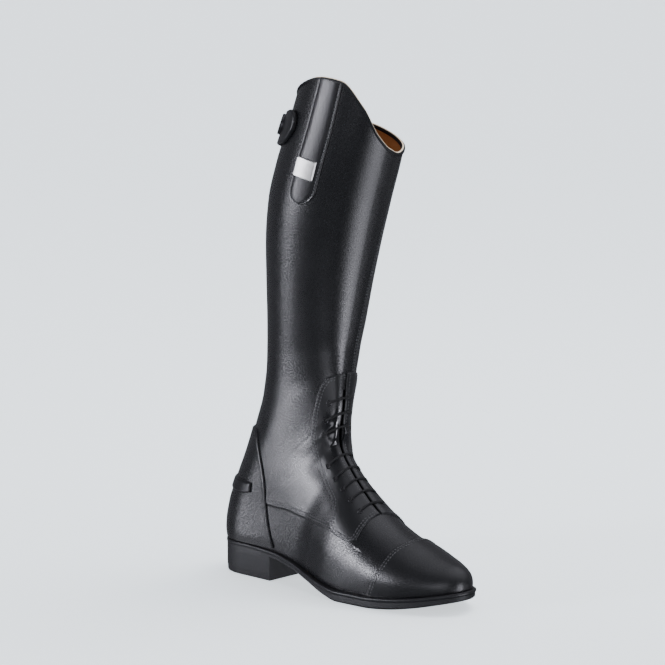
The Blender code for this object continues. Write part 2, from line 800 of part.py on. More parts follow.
def build_counter():
    """Counter round the back of the heel, and the spur rest that stands out from it."""

    def foot(x):
        return feather_z(x) + FOOT_GAP

    def front(z):
        return edge_at(COUNTER_FRONT, COUNTER_COLUMNS, "z", "front_x", z)

    shares = np.linspace(0, 1, COUNTER_LINES) ** COUNTER_CROWD
    levels = [lambda x, v=v: foot(x) + (COUNTER_TOP - foot(x)) * v for v in shares[1:]]
    heel = row_at(FIRST_LEG_ROW)[2]
    turns = np.linspace(-1, 1, COUNTER_ACROSS)
    lowest = [foot_place(heel + (front(foot(HEEL_BREAST)) - heel) * u * u, np.sign(u) or 1) for u in turns]
    places = [lowest] + heel_places(levels, front, COUNTER_ACROSS)
    high = COUNTER_CLEAR + COUNTER_THICK
    add_sheet("counter", lift_grid(places, high), lift_grid(places, COUNTER_CLEAR), "leather")
    low = high + SKIN_GAP
    levels = [lambda x, z=z: z for z in np.linspace(*SPUR_HEIGHTS, 3)]
    places = heel_places(levels, lambda z: SPUR_FRONT, COUNTER_ACROSS)
    add_sheet("spur_rest", lift_grid(places, low + SPUR_THICK), lift_grid(places, low), "leather")


def build_eyestays():
    """Eyestays on either side of the throat."""
    for name, side in (("eyestay_outer", -1), ("eyestay_inner", 1)):
        near = lambda r: side * (SLIT_TURN + EYESTAY_BACK)
        far = lambda r: side * edge_at(EYESTAY, EYESTAY_COLUMNS, "row", "far", r)
        places = strip_places(EYESTAY_STATIONS, near, far, EYESTAY_STEPS)
        add_sheet(name, lift_grid(places, SKIN_GAP + STAY_THICK), lift_grid(places, SKIN_GAP), "leather")


def build_lacing():
    """Eyelets on both eyestays and a bar of lace across each pair."""
    ring_low = SKIN_GAP + STAY_THICK + GAP
    ring_top = ring_low + EYELET_HIGH
    ring = ((EYELET_HOLE, ring_low), (EYELET_RIM, ring_low), (EYELET_RIM, ring_top), (EYELET_HOLE, ring_top))
    over_ring = ring_top + GAP + LACE_RADIUS
    over_stay = SKIN_GAP + STAY_THICK + LACE_CLEAR + LACE_RADIUS
    for number, values in enumerate(LACING, start=1):
        bar = dict(zip(LACING_COLUMNS, values))
        r, ends = bar["row"], (bar["outer"], bar["inner"])
        for side, t in zip(("outer", "inner"), ends):
            name = f"eyelet_{side}_{number}"
            add_turned(name, last_point(r, t), normal_at(r, t), ring, EYELET_SIDES, "eyelet")
        span = np.linspace(*ends, LACE_POINTS)
        lifts = [over_ring, over_ring] + [over_stay] * (LACE_POINTS - 4) + [over_ring, over_ring]
        route = [lifted(r, t, lift) for t, lift in zip(span, lifts)]
        route = [lifted(r, ends[0], ring_low + GAP)] + route + [lifted(r, ends[1], ring_low + GAP)]
        add_cord(f"lace_bar_{number}", route)


def add_cord(name, route):
    """A round cord with closed ends through the points of its route."""
    curve = bpy.data.curves.new(name, "CURVE")
    curve.dimensions = "3D"
    curve.bevel_depth = LACE_RADIUS * MM
    curve.bevel_resolution = 1
    curve.use_fill_caps = True
    spline = curve.splines.new("POLY")
    spline.points.add(len(route) - 1)
    for point, place_on in zip(spline.points, route):
        point.co = (*[c * MM for c in place_on], 1.0)
    add_piece(name, bpy.data.objects.new(name, curve), "lace")


def build_side_tab():
    """Strap sewn on below the collar with a round lower end, and the plain plate on it."""
    places = []
    for q in TAB_LINES:
        half = TAB_HALF * (1 - (1 - min(q / TAB_ROUND, 1.0)) ** 2) ** 0.5
        turns = [TAB_TURN + half * u for u in np.linspace(-1, 1, TAB_COLUMNS)]
        places.append([(TAB_ROW + (collar_row(t) - TAB_BELOW_COLLAR - TAB_ROW) * q, t) for t in turns])
    add_sheet("side_tab", lift_grid(places, GAP + TAB_THICK), lift_grid(places, GAP), "patent")
    low = 2 * GAP + TAB_THICK
    rows = np.linspace(*PLATE_ROWS, 3)
    places = strip_places(rows, lambda r: PLATE_TURNS[0], lambda r: PLATE_TURNS[1], 4)
    add_sheet("badge_plate", lift_grid(places, low + PLATE_THICK), lift_grid(places, low), "steel")


def build_binding():
    """Binding folded over the collar, from one side of the back opening round to the other."""
    out, inside = GAP + BIND_THICK, -WALL - GAP - BIND_THICK
    face, top = inside + BIND_THICK, GAP + BIND_THICK
    corners = (
        (out, -BIND_DEEP),
        (out, top),
        (inside, top),
        (inside, -BIND_DEEP),
        (face, -BIND_DEEP),
        (face, GAP),
        (GAP, GAP),
        (GAP, -BIND_DEEP),
    )
    sections = []
    for t in collar_columns():
        r = collar_row(t)
        line_below = r - (r - LOW_STATIONS[-1]) / LEG_LINES
        rise = last_point(r, t) - last_point(line_below, t)
        rise = rise / np.linalg.norm(rise)
        sections.append([lifted(r, t, lift) + height * rise for lift, height in corners])
    add_sweep("binding", sections, ((0, 1, 6, 7), (1, 2, 5, 6), (2, 3, 4, 5)), "binding")


def build_zip():
    """Zip behind the back opening, its chain standing through it, and the slider."""
    low, high = leg_row(1.0, ZIP_FOOT), leg_row(1.0, ZIP_TOP)
    tape, chain = 1 - TAPE_TURN, 1 - CHAIN_TURN
    inside = -WALL - ZIP_CLEAR
    sections = []
    for r in np.linspace(low, high, ZIP_LINES):
        ring = ((-tape, inside - TAPE_THICK), (-tape, inside), (-chain, inside), (-chain, CHAIN_LIFT),
                (chain, CHAIN_LIFT), (chain, inside), (tape, inside), (tape, inside - TAPE_THICK))
        sections.append([lifted(r, t, lift) for t, lift in ring])
    add_sweep("zip", sections, ((0, 1, 2, 5, 6, 7), (2, 3, 4, 5)), "zip")
    rows = [leg_row(1.0, z) for z in np.linspace(*SLIDER_HEIGHTS, 3)]
    turns = (-1 + SLIDER_TURN, -1.0, 1 - SLIDER_TURN)
    places = [[(r, t) for t in turns] for r in rows]
    low = CHAIN_LIFT + GAP
    add_sheet("zip_slider", lift_grid(places, low + SLIDER_THICK), lift_grid(places, low), "steel")


def build_guard():
    """Tab that closes over the head of the zip, and the press stud that holds it."""
    places, lifts = [], []
    for u in np.linspace(0, 1, GUARD_COLUMNS):
        around = GUARD_ENDS[0] + (GUARD_ENDS[1] - GUARD_ENDS[0]) * u
        t = -around if around <= 1 else 2 - around
        middle = GUARD_HEIGHTS[0] + (GUARD_HEIGHTS[1] - GUARD_HEIGHTS[0]) * u
        half = GUARD_HALF * (1 - (1 - min(u / GUARD_ROUND, 1.0)) ** 2) ** 0.5
        half = max(half, GUARD_HALF * GUARD_TIP)
        places.append([(leg_row(t, middle + half * v), t) for v in np.linspace(-1, 1, GUARD_LINES)])
        lifts.append(GUARD_LIFT + GUARD_BUMP * ease(1 - abs(around - 1) / GUARD_SWELL))
    low = np.array([[lifted(r, t, lift) for r, t in line] for line, lift in zip(places, lifts)])
    high = np.array([[lifted(r, t, lift + GUARD_THICK) for r, t in line] for line, lift in zip(places, lifts)])
    add_sheet("guard_tab", high, low, "leather")
    r = leg_row(STUD_TURN, STUD_HEIGHT)
    low = GUARD_LIFT + GUARD_BUMP * ease(1 - (1 + STUD_TURN) / GUARD_SWELL) + GUARD_THICK + GAP
    top, shoulder = low + STUD_HIGH, low + STUD_HIGH / 2
    cap = ((0.0, low), (STUD_RADIUS, low), (STUD_RADIUS, shoulder), (STUD_RADIUS / 2, top), (0.0, top))
    add_turned("press_stud", last_point(r, STUD_TURN), normal_at(r, STUD_TURN), cap, STUD_SIDES, "stud")


def main():
    """Build every piece on one frame whose origin is under the middle of the boot."""
    clear_scene()
    frame = bpy.data.objects.new(FRAME, None)
    frame.location = (-MIDDLE_X * MM, -MIDDLE_Y * MM, 0.0)
    bpy.context.collection.objects.link(frame)
    build_sole()
    build_upper()
    build_tongue()
    build_toe_cap()
    build_counter()
    build_eyestays()
    build_lacing()
    build_side_tab()
    build_binding()
    build_zip()
    build_guard()


main()
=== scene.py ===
"""Looks of a tall riding boot with a lace front: leather, stitching, lacing, zip, sole, light and camera.

Sizes in the classes are millimetres in the boot's own axes: x from the back of the heel to the toe,
y from the outer side of the foot to its inner side, and z up from the floor. A place on the upper is
a section r, counted from the toe tip to the collar, and a turn t, which runs from -1 on the outer side
over 0 on the ridge of the instep and shin to 1 on the inner side.
"""

from __future__ import annotations

import logging
import math
from collections.abc import Callable, Iterator, Sequence
from contextlib import contextmanager
from dataclasses import dataclass, field
from enum import Enum

import bpy
import numpy as np
from mathutils import Matrix, Vector

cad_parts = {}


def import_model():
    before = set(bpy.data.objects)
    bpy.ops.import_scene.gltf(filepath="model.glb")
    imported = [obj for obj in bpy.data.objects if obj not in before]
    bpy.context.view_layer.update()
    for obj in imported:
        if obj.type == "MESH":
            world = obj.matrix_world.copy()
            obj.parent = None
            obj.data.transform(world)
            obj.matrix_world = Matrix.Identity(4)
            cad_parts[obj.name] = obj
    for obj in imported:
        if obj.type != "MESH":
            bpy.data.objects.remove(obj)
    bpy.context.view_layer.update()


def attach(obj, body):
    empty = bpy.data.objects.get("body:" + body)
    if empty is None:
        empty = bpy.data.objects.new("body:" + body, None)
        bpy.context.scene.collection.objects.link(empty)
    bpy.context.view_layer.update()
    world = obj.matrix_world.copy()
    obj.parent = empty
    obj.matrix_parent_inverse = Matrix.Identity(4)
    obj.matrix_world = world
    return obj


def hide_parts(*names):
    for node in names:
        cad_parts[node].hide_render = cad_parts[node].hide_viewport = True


LOG = logging.getLogger("boot")
Array = np.ndarray
Item = bpy.types.Object
MM = 0.001
MIDDLE_X = 143.53
MIDDLE_Y = 12.18
IN_PROFILE = (1.0, 0.0, 1.0)
BODY = "root"


class Side(Enum):
    """The two sides of the foot, valued as the sign of their turns."""

    OUTER = -1
    INNER = 1


class Edge(Enum):
    """The four edges of a sheet that is made as a grid of rows and columns."""

    FIRST_ROW = "first row"
    LAST_ROW = "last row"
    FIRST_COLUMN = "first column"
    LAST_COLUMN = "last column"


def ease(u: Array) -> Array:
    """A smooth step from 0 to 1."""
    u = np.clip(u, 0.0, 1.0)
    return u * u * (3 - 2 * u)


def bell(u: Array) -> Array:
    """A hump of height 1 that has died away two units either side of 0."""
    return np.exp(-np.square(u))


def window(u: Array, start: float, full: float, fading: float, gone: float) -> Array:
    """A smooth step up between two places and down again between two more."""
    return ease((u - start) / (full - start)) * (1 - ease((u - fading) / (gone - fading)))


def quarter_round(u: Array) -> Array:
    """Height of a rounded edge, from 0 at the edge to 1 a unit in from it."""
    return np.sqrt(1 - (1 - np.clip(u, 0.0, 1.0)) ** 2)


def smooth_through(stations: Array, values: Array, at: Array) -> Array:
    """Read a smooth curve through values that never swings past them.

    Args:
        stations: Rising places of the values.
        values: One value for each station.
        at: Places to read, held within the stations.

    Returns:
        The curve's height at each place.
    """
    at = np.clip(np.asarray(at, float), stations[0], stations[-1])
    width = np.diff(stations)
    rise = np.diff(values) / width
    slope = np.zeros(len(values))
    same = rise[:-1] * rise[1:] > 0
    before, after = 2 * width[1:] + width[:-1], width[1:] + 2 * width[:-1]
    low, high = np.where(same, rise[:-1], 1.0), np.where(same, rise[1:], 1.0)
    slope[1:-1] = np.where(same, (before + after) / (before / low + after / high), 0.0)
    slope[0], slope[-1] = rise[0], rise[-1]
    i = np.clip(np.searchsorted(stations, at) - 1, 0, len(stations) - 2)
    u = (at - stations[i]) / width[i]
    return (
        values[i] * (1 + 2 * u) * (1 - u) ** 2
        + values[i + 1] * u * u * (3 - 2 * u)
        + slope[i] * width[i] * u * (1 - u) ** 2
        + slope[i + 1] * width[i] * u * u * (u - 1)
    )


def unit(vectors: Array) -> Array:
    """Vectors along the last axis, brought to length 1."""
    return vectors / np.linalg.norm(vectors, axis=-1, keepdims=True)


def crossing(rising: Callable[[Array], Array], low: Array, high: Array) -> Array:
    """Find where a rising function crosses zero, place by place.

    Args:
        rising: Function of an array of guesses.
        low: Guesses below every crossing.
        high: Guesses above every crossing.

    Returns:
        The crossings.
    """
    low, high = np.array(low, float), np.array(high, float)
    for _ in range(38):
        middle = (low + high) / 2
        under = rising(middle) < 0
        low, high = np.where(under, middle, low), np.where(under, high, middle)
    return (low + high) / 2


def crowded(count: int) -> Array:
    """Shares from 0 to 1 that draw together at both ends."""
    return 0.5 - 0.5 * np.cos(np.linspace(0, math.pi, count))


def run_length(points: Array, axis: int) -> Array:
    """Distance travelled along the grid lines of one axis, starting from 0."""
    steps = np.linalg.norm(np.diff(points, axis=axis), axis=-1)
    start = np.zeros_like(np.take(steps, [0], axis=axis))
    return np.concatenate([start, np.cumsum(steps, axis=axis)], axis=axis)


def edge_distance(points: Array, edges: Sequence[Edge]) -> Array:
    """Distance of each point of a grid from the nearest of its free edges.

    Args:
        points: Rows and columns of points.
        edges: The edges that are free.

    Returns:
        One distance for each point.
    """
    along, across = run_length(points, 0), run_length(points, 1)
    reach = {
        Edge.FIRST_ROW: along,
        Edge.LAST_ROW: along[-1:] - along,
        Edge.FIRST_COLUMN: across,
        Edge.LAST_COLUMN: across[:, -1:] - across,
    }
    return np.min([reach[edge] for edge in edges], axis=0)


@dataclass(frozen=True)
class Table:
    """Rows of numbers under named columns, read by the first column."""

    columns: tuple[str, ...]
    rows: tuple[tuple[float, ...], ...]

    def column(self, name: str) -> Array:
        """One named column."""
        return np.array([row[self.columns.index(name)] for row in self.rows], float)

    def smooth(self, name: str, at: Array) -> Array:
        """A column read along a smooth curve."""
        return smooth_through(self.column(self.columns[0]), self.column(name), at)

    def straight(self, name: str, at: Array) -> Array:
        """A column read along straight lines between its rows."""
        return np.interp(at, self.column(self.columns[0]), self.column(name))


@dataclass(frozen=True)
class SoleShape:
    """Outline and heights of the sole."""

    length: float = 289.0
    toe_swing: float = 8.0
    swing_start: float = 130.0
    heel_round: float = 35.0
    heel_square: float = 2.3
    toe_round: float = 76.0
    toe_square: float = 2.2
    breast: float = 74.0
    inset: float = 5.0
    heel_inset_share: float = 0.4
    outline: Table = Table(
        ("x", "outer", "inner"),
        (
            (0.0, 34.0, 32.0), (35.0, 34.0, 32.0), (75.0, 34.5, 29.5), (110.0, 38.0, 28.5),
            (145.0, 44.5, 34.0), (175.0, 49.0, 41.5), (205.0, 49.0, 45.0),
            (235.0, 46.0, 44.0), (289.0, 40.0, 40.0),
        ),
    )
    feather: Table = Table(
        ("x", "z", "thick"),
        (
            (0.0, 31.0, 7.0), (40.0, 31.0, 7.0), (78.0, 29.5, 7.0), (105.0, 25.0, 7.0),
            (130.0, 18.5, 7.5), (155.0, 12.8, 9.4), (175.0, 10.8, 10.8),
            (205.0, 10.8, 10.8), (230.0, 12.0, 10.6), (255.0, 15.0, 10.0),
            (275.0, 18.4, 9.2), (289.0, 21.0, 8.8),
        ),
    )

    def centre_line(self, x: Array) -> Array:
        """y of the middle of the sole, which swings to the inner side at the toe."""
        return self.toe_swing * ease((x - self.swing_start) / (self.length - self.swing_start))

    def edge(self, x: Array, side: Side, inset: float, extra: float = 0.0) -> Array:
        """y of the sole's edge.

        Args:
            x: Places along the foot.
            side: Side of the foot.
            inset: How far the edge is drawn in, less at the heel.
            extra: How far it is drawn in evenly.

        Returns:
            y at each place.
        """
        back, tip = inset * self.heel_inset_share + extra, self.length - inset - extra
        into = np.clip((back + self.heel_round - x) / self.heel_round, 0.0, 1.0)
        past = np.clip((x - tip + self.toe_round) / self.toe_round, 0.0, 1.0)
        ends = (1 - into**self.heel_square) ** (1 / self.heel_square) * np.sqrt(1 - past**self.toe_square)
        share = self.heel_inset_share
        drawn = inset * (share + (1 - share) * ease(x / self.swing_start)) + extra
        half = self.outline.smooth("outer" if side is Side.OUTER else "inner", x) - drawn
        return self.centre_line(x) + side.value * half * ends

    def feather_z(self, x: Array) -> Array:
        """Height of the sole's upper face."""
        return self.feather.smooth("z", x)

    def tread_z(self, x: Array) -> Array:
        """Height of the sole's underside."""
        arch = np.maximum(self.feather_z(x) - self.feather.smooth("thick", x), 0.0)
        return np.where(x <= self.breast, 0.0, arch)


@dataclass
class Last:
    """The surface that the upper is drawn over, from sections of the foot, heel and leg."""

    sole: SoleShape = SoleShape()
    foot_gap: float = 0.4
    pole_row: float = 0.4
    step: float = 0.02
    fine: int = 100
    back_share: float = 0.9995
    heel_blend: tuple[float, float, float, float] = (10.0, 13.5, 18.5, 22.0)
    low_blend: tuple[float, float] = (0.4, 0.85)
    corner_spread: float = 2.0
    corner_reach: float = 2.6
    corner_blend: tuple[float, float] = (0.5, 0.95)
    foot: Table = Table(
        ("top_x", "top_z", "low_x", "bulge_out", "bulge_in", "widest", "crown", "ridge"),
        (
            (283.9, 20.9, 283.9, 0.0, 0.0, 0.75, 2.0, 8.0),
            (284.0, 27.6, 283.2, 0.2, 0.2, 0.75, 2.0, 7.8),
            (281.2, 34.8, 281.0, 0.5, 0.5, 0.75, 2.0, 7.6),
            (275.5, 39.6, 276.0, 1.0, 1.0, 0.75, 1.95, 7.0),
            (266.5, 43.0, 267.0, 1.2, 1.2, 0.75, 1.9, 6.0),
            (253.5, 47.6, 251.0, 1.3, 1.4, 0.74, 1.88, 4.0),
            (232.8, 56.4, 229.0, 1.3, 1.6, 0.72, 1.85, 1.0),
            (210.0, 66.8, 204.0, 1.3, 1.8, 0.72, 1.86, -3.0),
            (189.0, 81.0, 180.0, 1.5, 2.0, 0.72, 1.95, -6.0),
            (172.4, 97.6, 155.0, 2.0, 3.0, 0.7, 2.0, -8.0),
            (158.2, 113.5, 127.0, 2.5, 4.0, 0.66, 2.0, -8.4),
            (146.8, 127.8, 97.0, 2.5, 4.0, 0.6, 2.0, -8.0),
        ),
    )
    heel: Table = Table(
        ("top_x", "top_z", "low_x", "half_out", "half_in", "widest", "square", "ridge"),
        (
            (140.8, 140.0, 68.0, 34.2, 34.4, 0.56, 2.1, -7.0),
            (140.6, 150.0, 42.0, 33.8, 34.8, 0.53, 2.2, -6.2),
            (141.4, 157.0, 22.0, 33.5, 35.3, 0.52, 2.3, -5.8),
            (142.2, 162.5, 8.5, 33.2, 35.8, 0.52, 2.4, -5.4),
        ),
    )
    leg: Table = Table(
        ("top_x", "top_z", "low_x", "low_z", "half", "widest", "square", "lean", "ridge"),
        (
            (142.7, 167.0, 2.0, 31.4, 34.6, 0.52, 2.5, 1.8, -5.2),
            (143.0, 171.5, 0.2, 47.0, 34.75, 0.52, 2.55, 2.45, -4.8),
            (143.0, 176.0, 2.8, 66.0, 34.95, 0.52, 2.45, 3.25, -4.2),
            (142.5, 181.5, 11.0, 90.0, 35.2, 0.52, 2.3, 4.2, -3.4),
            (141.8, 188.0, 21.5, 116.0, 35.6, 0.52, 2.2, 5.4, -2.2),
            (140.9, 196.0, 30.5, 143.0, 36.4, 0.515, 2.1, 7.0, -0.4),
            (139.9, 207.0, 38.5, 172.0, 37.6, 0.52, 2.0, 8.8, 2.0),
            (140.0, 224.0, 42.5, 204.0, 39.6, 0.51, 2.0, 10.6, 5.4),
            (143.0, 250.0, 43.0, 243.0, 43.2, 0.5, 2.0, 12.5, 9.4),
            (147.4, 282.0, 42.3, 282.0, 46.8, 0.5, 2.0, 14.0, 13.0),
            (155.0, 320.0, 41.5, 320.0, 50.4, 0.5, 2.0, 15.5, 15.5),
            (165.0, 360.0, 44.8, 360.0, 53.3, 0.5, 2.0, 17.0, 17.0),
            (175.5, 395.0, 54.6, 395.0, 53.7, 0.5, 2.0, 18.0, 18.0),
            (185.5, 430.0, 68.6, 430.0, 52.2, 0.5, 2.0, 18.5, 18.5),
            (196.0, 482.0, 88.0, 482.0, 49.0, 0.5, 2.0, 19.0, 19.0),
        ),
    )
    back: Table = Table(
        ("z", "half", "lean", "depth", "square"),
        (
            (31.0, 31.0, -1.0, 36.0, 2.3),
            (38.0, 32.6, -0.6, 36.0, 2.25),
            (47.0, 33.5, 0.3, 36.0, 2.15),
            (62.0, 33.9, 0.9, 37.5, 2.1),
            (90.0, 34.0, 1.5, 41.0, 2.0),
            (120.0, 35.0, 3.0, 46.0, 2.0),
            (150.0, 36.4, 5.4, 50.0, 2.1),
        ),
    )
    collar: Table = Table(
        ("turn", "z"),
        (
            (-1.0, 446.0), (-0.75, 466.0), (-0.5, 478.5), (-0.38, 476.0), (-0.22, 452.0),
            (-0.1, 425.0), (0.0, 412.0), (0.1, 407.0), (0.3, 413.0), (0.55, 425.0),
            (0.8, 437.0), (1.0, 446.0),
        ),
    )
    hollows: Table = Table(
        ("row", "turn", "deep", "long", "wide"),
        (
            (11.8, -0.37, -1.2, 2.8, 0.09),
            (12.8, -0.54, 0.4, 2.2, 0.1),
            (22.0, -0.55, -0.5, 1.2, 0.16),
            (11.8, 0.37, -1.2, 2.4, 0.085),
            (17.4, 0.5, -0.6, 1.3, 0.14),
            (21.6, 0.45, -0.5, 1.3, 0.16),
            (9.3, -0.74, 0.5, 1.6, 0.08),
            (7.6, -0.8, -0.4, 0.8, 0.12),
        ),
    )
    rows: Array = field(init=False)
    fine_rows: Array = field(init=False)
    fine_travel: Array = field(init=False)
    fine_low: Array = field(init=False)
    first_heel: int = field(init=False)
    first_leg: int = field(init=False)
    last_row: int = field(init=False)

    def __post_init__(self) -> None:
        """Gather the three tables into one list of sections."""
        self.first_heel = len(self.foot.rows) - 1
        self.first_leg = len(self.foot.rows) + len(self.heel.rows)
        rows = []
        for kind in (self.foot, self.heel):
            for values in kind.rows:
                row = dict(zip(kind.columns, values))
                x = row["low_x"]
                middle = float(self.sole.centre_line(x))
                out = middle - float(self.sole.edge(x, Side.OUTER, self.sole.inset))
                inn = float(self.sole.edge(x, Side.INNER, self.sole.inset)) - middle
                half_out = row.get("half_out", out + row.get("bulge_out", 0.0))
                half_in = row.get("half_in", inn + row.get("bulge_in", 0.0))
                shape = (row["widest"], row.get("crown", 2.0), row.get("square", 2.0), middle, row["ridge"])
                low_z = float(self.sole.feather_z(x)) + self.foot_gap
                sides = (middle - half_out, middle + half_in, out, inn)
                rows.append((row["top_x"], row["top_z"], x, low_z, *sides, *shape))
        for values in self.leg.rows:
            row = dict(zip(self.leg.columns, values))
            ends = (row["top_x"], row["top_z"], row["low_x"], row["low_z"])
            shape = (row["widest"], 2.0, row["square"], row["lean"], row["ridge"])
            sides = (row["lean"] - row["half"], row["lean"] + row["half"], 0.0, 0.0)
            rows.append((*ends, *sides, *shape))
        self.rows = np.array(rows)
        self.last_row = len(rows) - 1
        self.fine_rows = np.linspace(0, self.last_row, self.last_row * self.fine + 1)
        top_x, top_z, low_x, low_z = self.ends(self.fine_rows)
        top, low = np.stack([top_x, top_z], axis=-1), np.stack([low_x, low_z], axis=-1)
        self.fine_travel = run_length(top, 0) + run_length(low, 0)
        reach = 2 * self.fine
        spread = bell(np.linspace(-2, 2, 2 * reach + 1) * 2 / self.corner_spread)
        padded = np.pad(low.T, ((0, 0), (reach, reach)), "edge")
        rounded = np.stack([np.convolve(line, spread / spread.sum(), "valid") for line in padded])
        near = bell((self.fine_rows - self.first_leg) / self.corner_reach)
        self.fine_low = low.T + near * (rounded - low.T)

    def back_x(self, z: Array) -> Array:
        """x of the back line at a height."""
        return smooth_through(self.rows[self.first_leg :, 3], self.rows[self.first_leg :, 2], z)

    def ends(self, r: Array) -> list[Array]:
        """x and z of the upper and lower ends of the sections."""
        stations = np.arange(len(self.rows), dtype=float)
        values = [smooth_through(stations, column, r) for column in self.rows.T[:4]]
        values[2] = np.where(r > self.first_leg, self.back_x(values[3]), values[2])
        return values

    def section(self, r: Array) -> list[Array]:
        """Values of the sections at places between the rows, the widths read by how far the ends travel."""
        travel = np.interp(r, self.fine_rows, self.fine_travel)
        stations = self.fine_travel[:: self.fine]
        return self.ends(r) + [smooth_through(stations, column, travel) for column in self.rows.T[4:]]

    def share_down(self, r: Array, t: Array) -> Array:
        """How far down its section a turn lies."""
        closed = ease((r - self.first_heel) / (self.first_leg - self.first_heel))
        turn = math.pi * np.minimum(np.abs(t), 1.0)
        return (1 - closed) * (1 - np.cos(turn / 2)) + closed * (1 - np.cos(turn)) / 2

    def point(self, r: Array, t: Array) -> Array:
        """Points of the surface.

        Args:
            r: Sections.
            t: Turns, of the same shape or one that spreads to it.

        Returns:
            Points along the last axis.
        """
        r, t = np.broadcast_arrays(np.asarray(r, float), np.asarray(t, float))
        top_x, top_z, low_x, low_z, *sides, widest, crown, square, lean, ridge = self.section(r)
        outer = t < 0
        side, seat = np.where(outer, sides[0], sides[1]), np.where(outer, sides[2], sides[3])
        half = side - lean
        down = self.share_down(r, t)
        exact = ease((down - self.corner_blend[0]) / (self.corner_blend[1] - self.corner_blend[0]))
        round_x, round_z = (np.interp(r, self.fine_rows, line) for line in self.fine_low)
        low_x, low_z = round_x + (low_x - round_x) * exact, round_z + (low_z - round_z) * exact
        x, z = top_x + (low_x - top_x) * down, top_z + (low_z - top_z) * down
        rise = np.clip(1 - np.clip(1 - down / widest, 0.0, 1.0) ** crown, 0.0, 1.0) ** (1 / crown)
        left = np.minimum(np.maximum(seat, 0.0) / np.maximum(np.abs(half), 0.001), 0.999)
        past = np.clip((down - widest) / (1 - widest), 0.0, 1.0)
        fall = (1 - left**square) * past**square
        below = lean + half * np.clip(1 - fall, 0.0, 1.0) ** (1 / square)
        y = np.where(down <= widest, ridge + (side - ridge) * rise, below)
        share = ease((down - self.low_blend[0]) / (self.low_blend[1] - self.low_blend[0]))
        share = share * window(r, *self.heel_blend)
        back_half, back_lean, depth, power = [self.back.smooth(name, z) for name in self.back.columns[1:]]
        into = np.clip((self.back_x(z) + depth - x) / depth, 0.0, 1.0)
        round_y = back_lean + np.where(outer, -1, 1) * back_half * (1 - into**power) ** (1 / power)
        return np.stack([x, y + share * (round_y - y), z], axis=-1)

    def normal(self, r: Array, t: Array) -> Array:
        """Outward directions of the surface."""
        r, t = np.broadcast_arrays(np.asarray(r, float), np.asarray(t, float))
        r = np.clip(r, self.pole_row, self.last_row - self.step)
        along = self.point(r + self.step, t) - self.point(r - self.step, t)
        after, before = np.minimum(t + self.step, 1.0), np.maximum(t - self.step, -1.0)
        across = self.point(r, after) - self.point(r, before)
        return unit(np.cross(across, along))

    def hollow(self, r: Array, t: Array) -> Array:
        """Height of the soft troughs and swells that wear has left in the leather."""
        lift = np.zeros(np.broadcast_shapes(np.shape(r), np.shape(t)))
        for row, middle, deep, long, wide in self.hollows.rows:
            lift = lift + deep * bell((r - row) / long) * bell((t - middle) / wide)
        return lift

    def lifted(self, r: Array, t: Array, lift: Array) -> Array:
        """Points above the worn surface, or below it where the lift is negative.

        Args:
            r: Sections.
            t: Turns.
            lift: Heights above the surface.

        Returns:
            Points along the last axis.
        """
        r, t = np.broadcast_arrays(np.asarray(r, float), np.asarray(t, float))
        direction = self.normal(r, t)
        end = np.abs(t) == 1.0
        seam = (end & (r >= self.first_leg))[..., None]
        flat = unit((direction + self.normal(r, -t)) * IN_PROFILE)
        direction = np.where(seam, flat, direction)
        height = np.asarray(lift) + self.hollow(r, t)
        raised = self.point(r, t) + height[..., None] * direction
        foot = end & (r <= self.first_leg)
        raised[..., 2] = np.where(foot, self.sole.feather_z(raised[..., 0]) + self.foot_gap, raised[..., 2])
        return raised

    def leg_row(self, t: Array, z: Array) -> Array:
        """Sections on which the leg reaches a height."""
        t, z = np.broadcast_arrays(np.asarray(t, float), np.asarray(z, float))
        low = np.full(t.shape, float(self.first_leg))
        return crossing(lambda r: self.point(r, t)[..., 2] - z, low, np.full(t.shape, float(self.last_row)))

    def collar_row(self, t: Array) -> Array:
        """Sections of the collar."""
        return self.leg_row(t, self.collar.smooth("z", t))

    def place(self, x: Array, z: Array, side: Array) -> tuple[Array, Array]:
        """Section and turn of the heel or leg that is seen at x, z from one side.

        Args:
            x: Places along the foot.
            z: Heights.
            side: -1 for the outer side, 1 for the inner.

        Returns:
            Sections and turns.
        """
        x, z, side = np.broadcast_arrays(x, z, side)

        def past(r: Array) -> Array:
            """Which side of a section's line the point lies on."""
            top_x, top_z, low_x, low_z = self.ends(r)
            return (low_x - top_x) * (z - top_z) - (low_z - top_z) * (x - top_x)

        r = crossing(past, np.full(x.shape, self.first_heel - 2.0), np.full(x.shape, float(self.last_row)))
        top_x, top_z, low_x, low_z = self.ends(r)
        run_x, run_z = low_x - top_x, low_z - top_z
        share = ((x - top_x) * run_x + (z - top_z) * run_z) / (run_x**2 + run_z**2)
        t = crossing(lambda t: self.share_down(r, t) - share, np.zeros(x.shape), np.ones(x.shape))
        return r, side * np.where(share > self.back_share, 1.0, t)

    def shifted(self, r: Array, t: Array, sideways: float) -> tuple[Array, Array]:
        """Move a line on the surface sideways.

        Args:
            r: Sections of the line's points.
            t: Turns of the line's points.
            sideways: Distance, positive to the left of the way that the line runs, seen from outside.

        Returns:
            Sections and turns of the moved line.
        """
        nudge = 0.01
        for share in (0.5, 0.5):
            run = np.gradient(self.point(r, t), axis=0)
            way = unit(np.cross(self.normal(r, t), run)) * sideways * share
            by_r = (self.point(r + nudge, t) - self.point(r - nudge, t)) / (2 * nudge)
            by_t = (self.point(r, t + nudge) - self.point(r, t - nudge)) / (2 * nudge)
            rr, rt, tt = (by_r**2).sum(-1), (by_r * by_t).sum(-1), (by_t**2).sum(-1)
            wr, wt = (way * by_r).sum(-1), (way * by_t).sum(-1)
            det = np.maximum(rr * tt - rt * rt, 1e-6)
            r, t = r + (wr * tt - wt * rt) / det, t + (wt * rr - wr * rt) / det
        return r, t


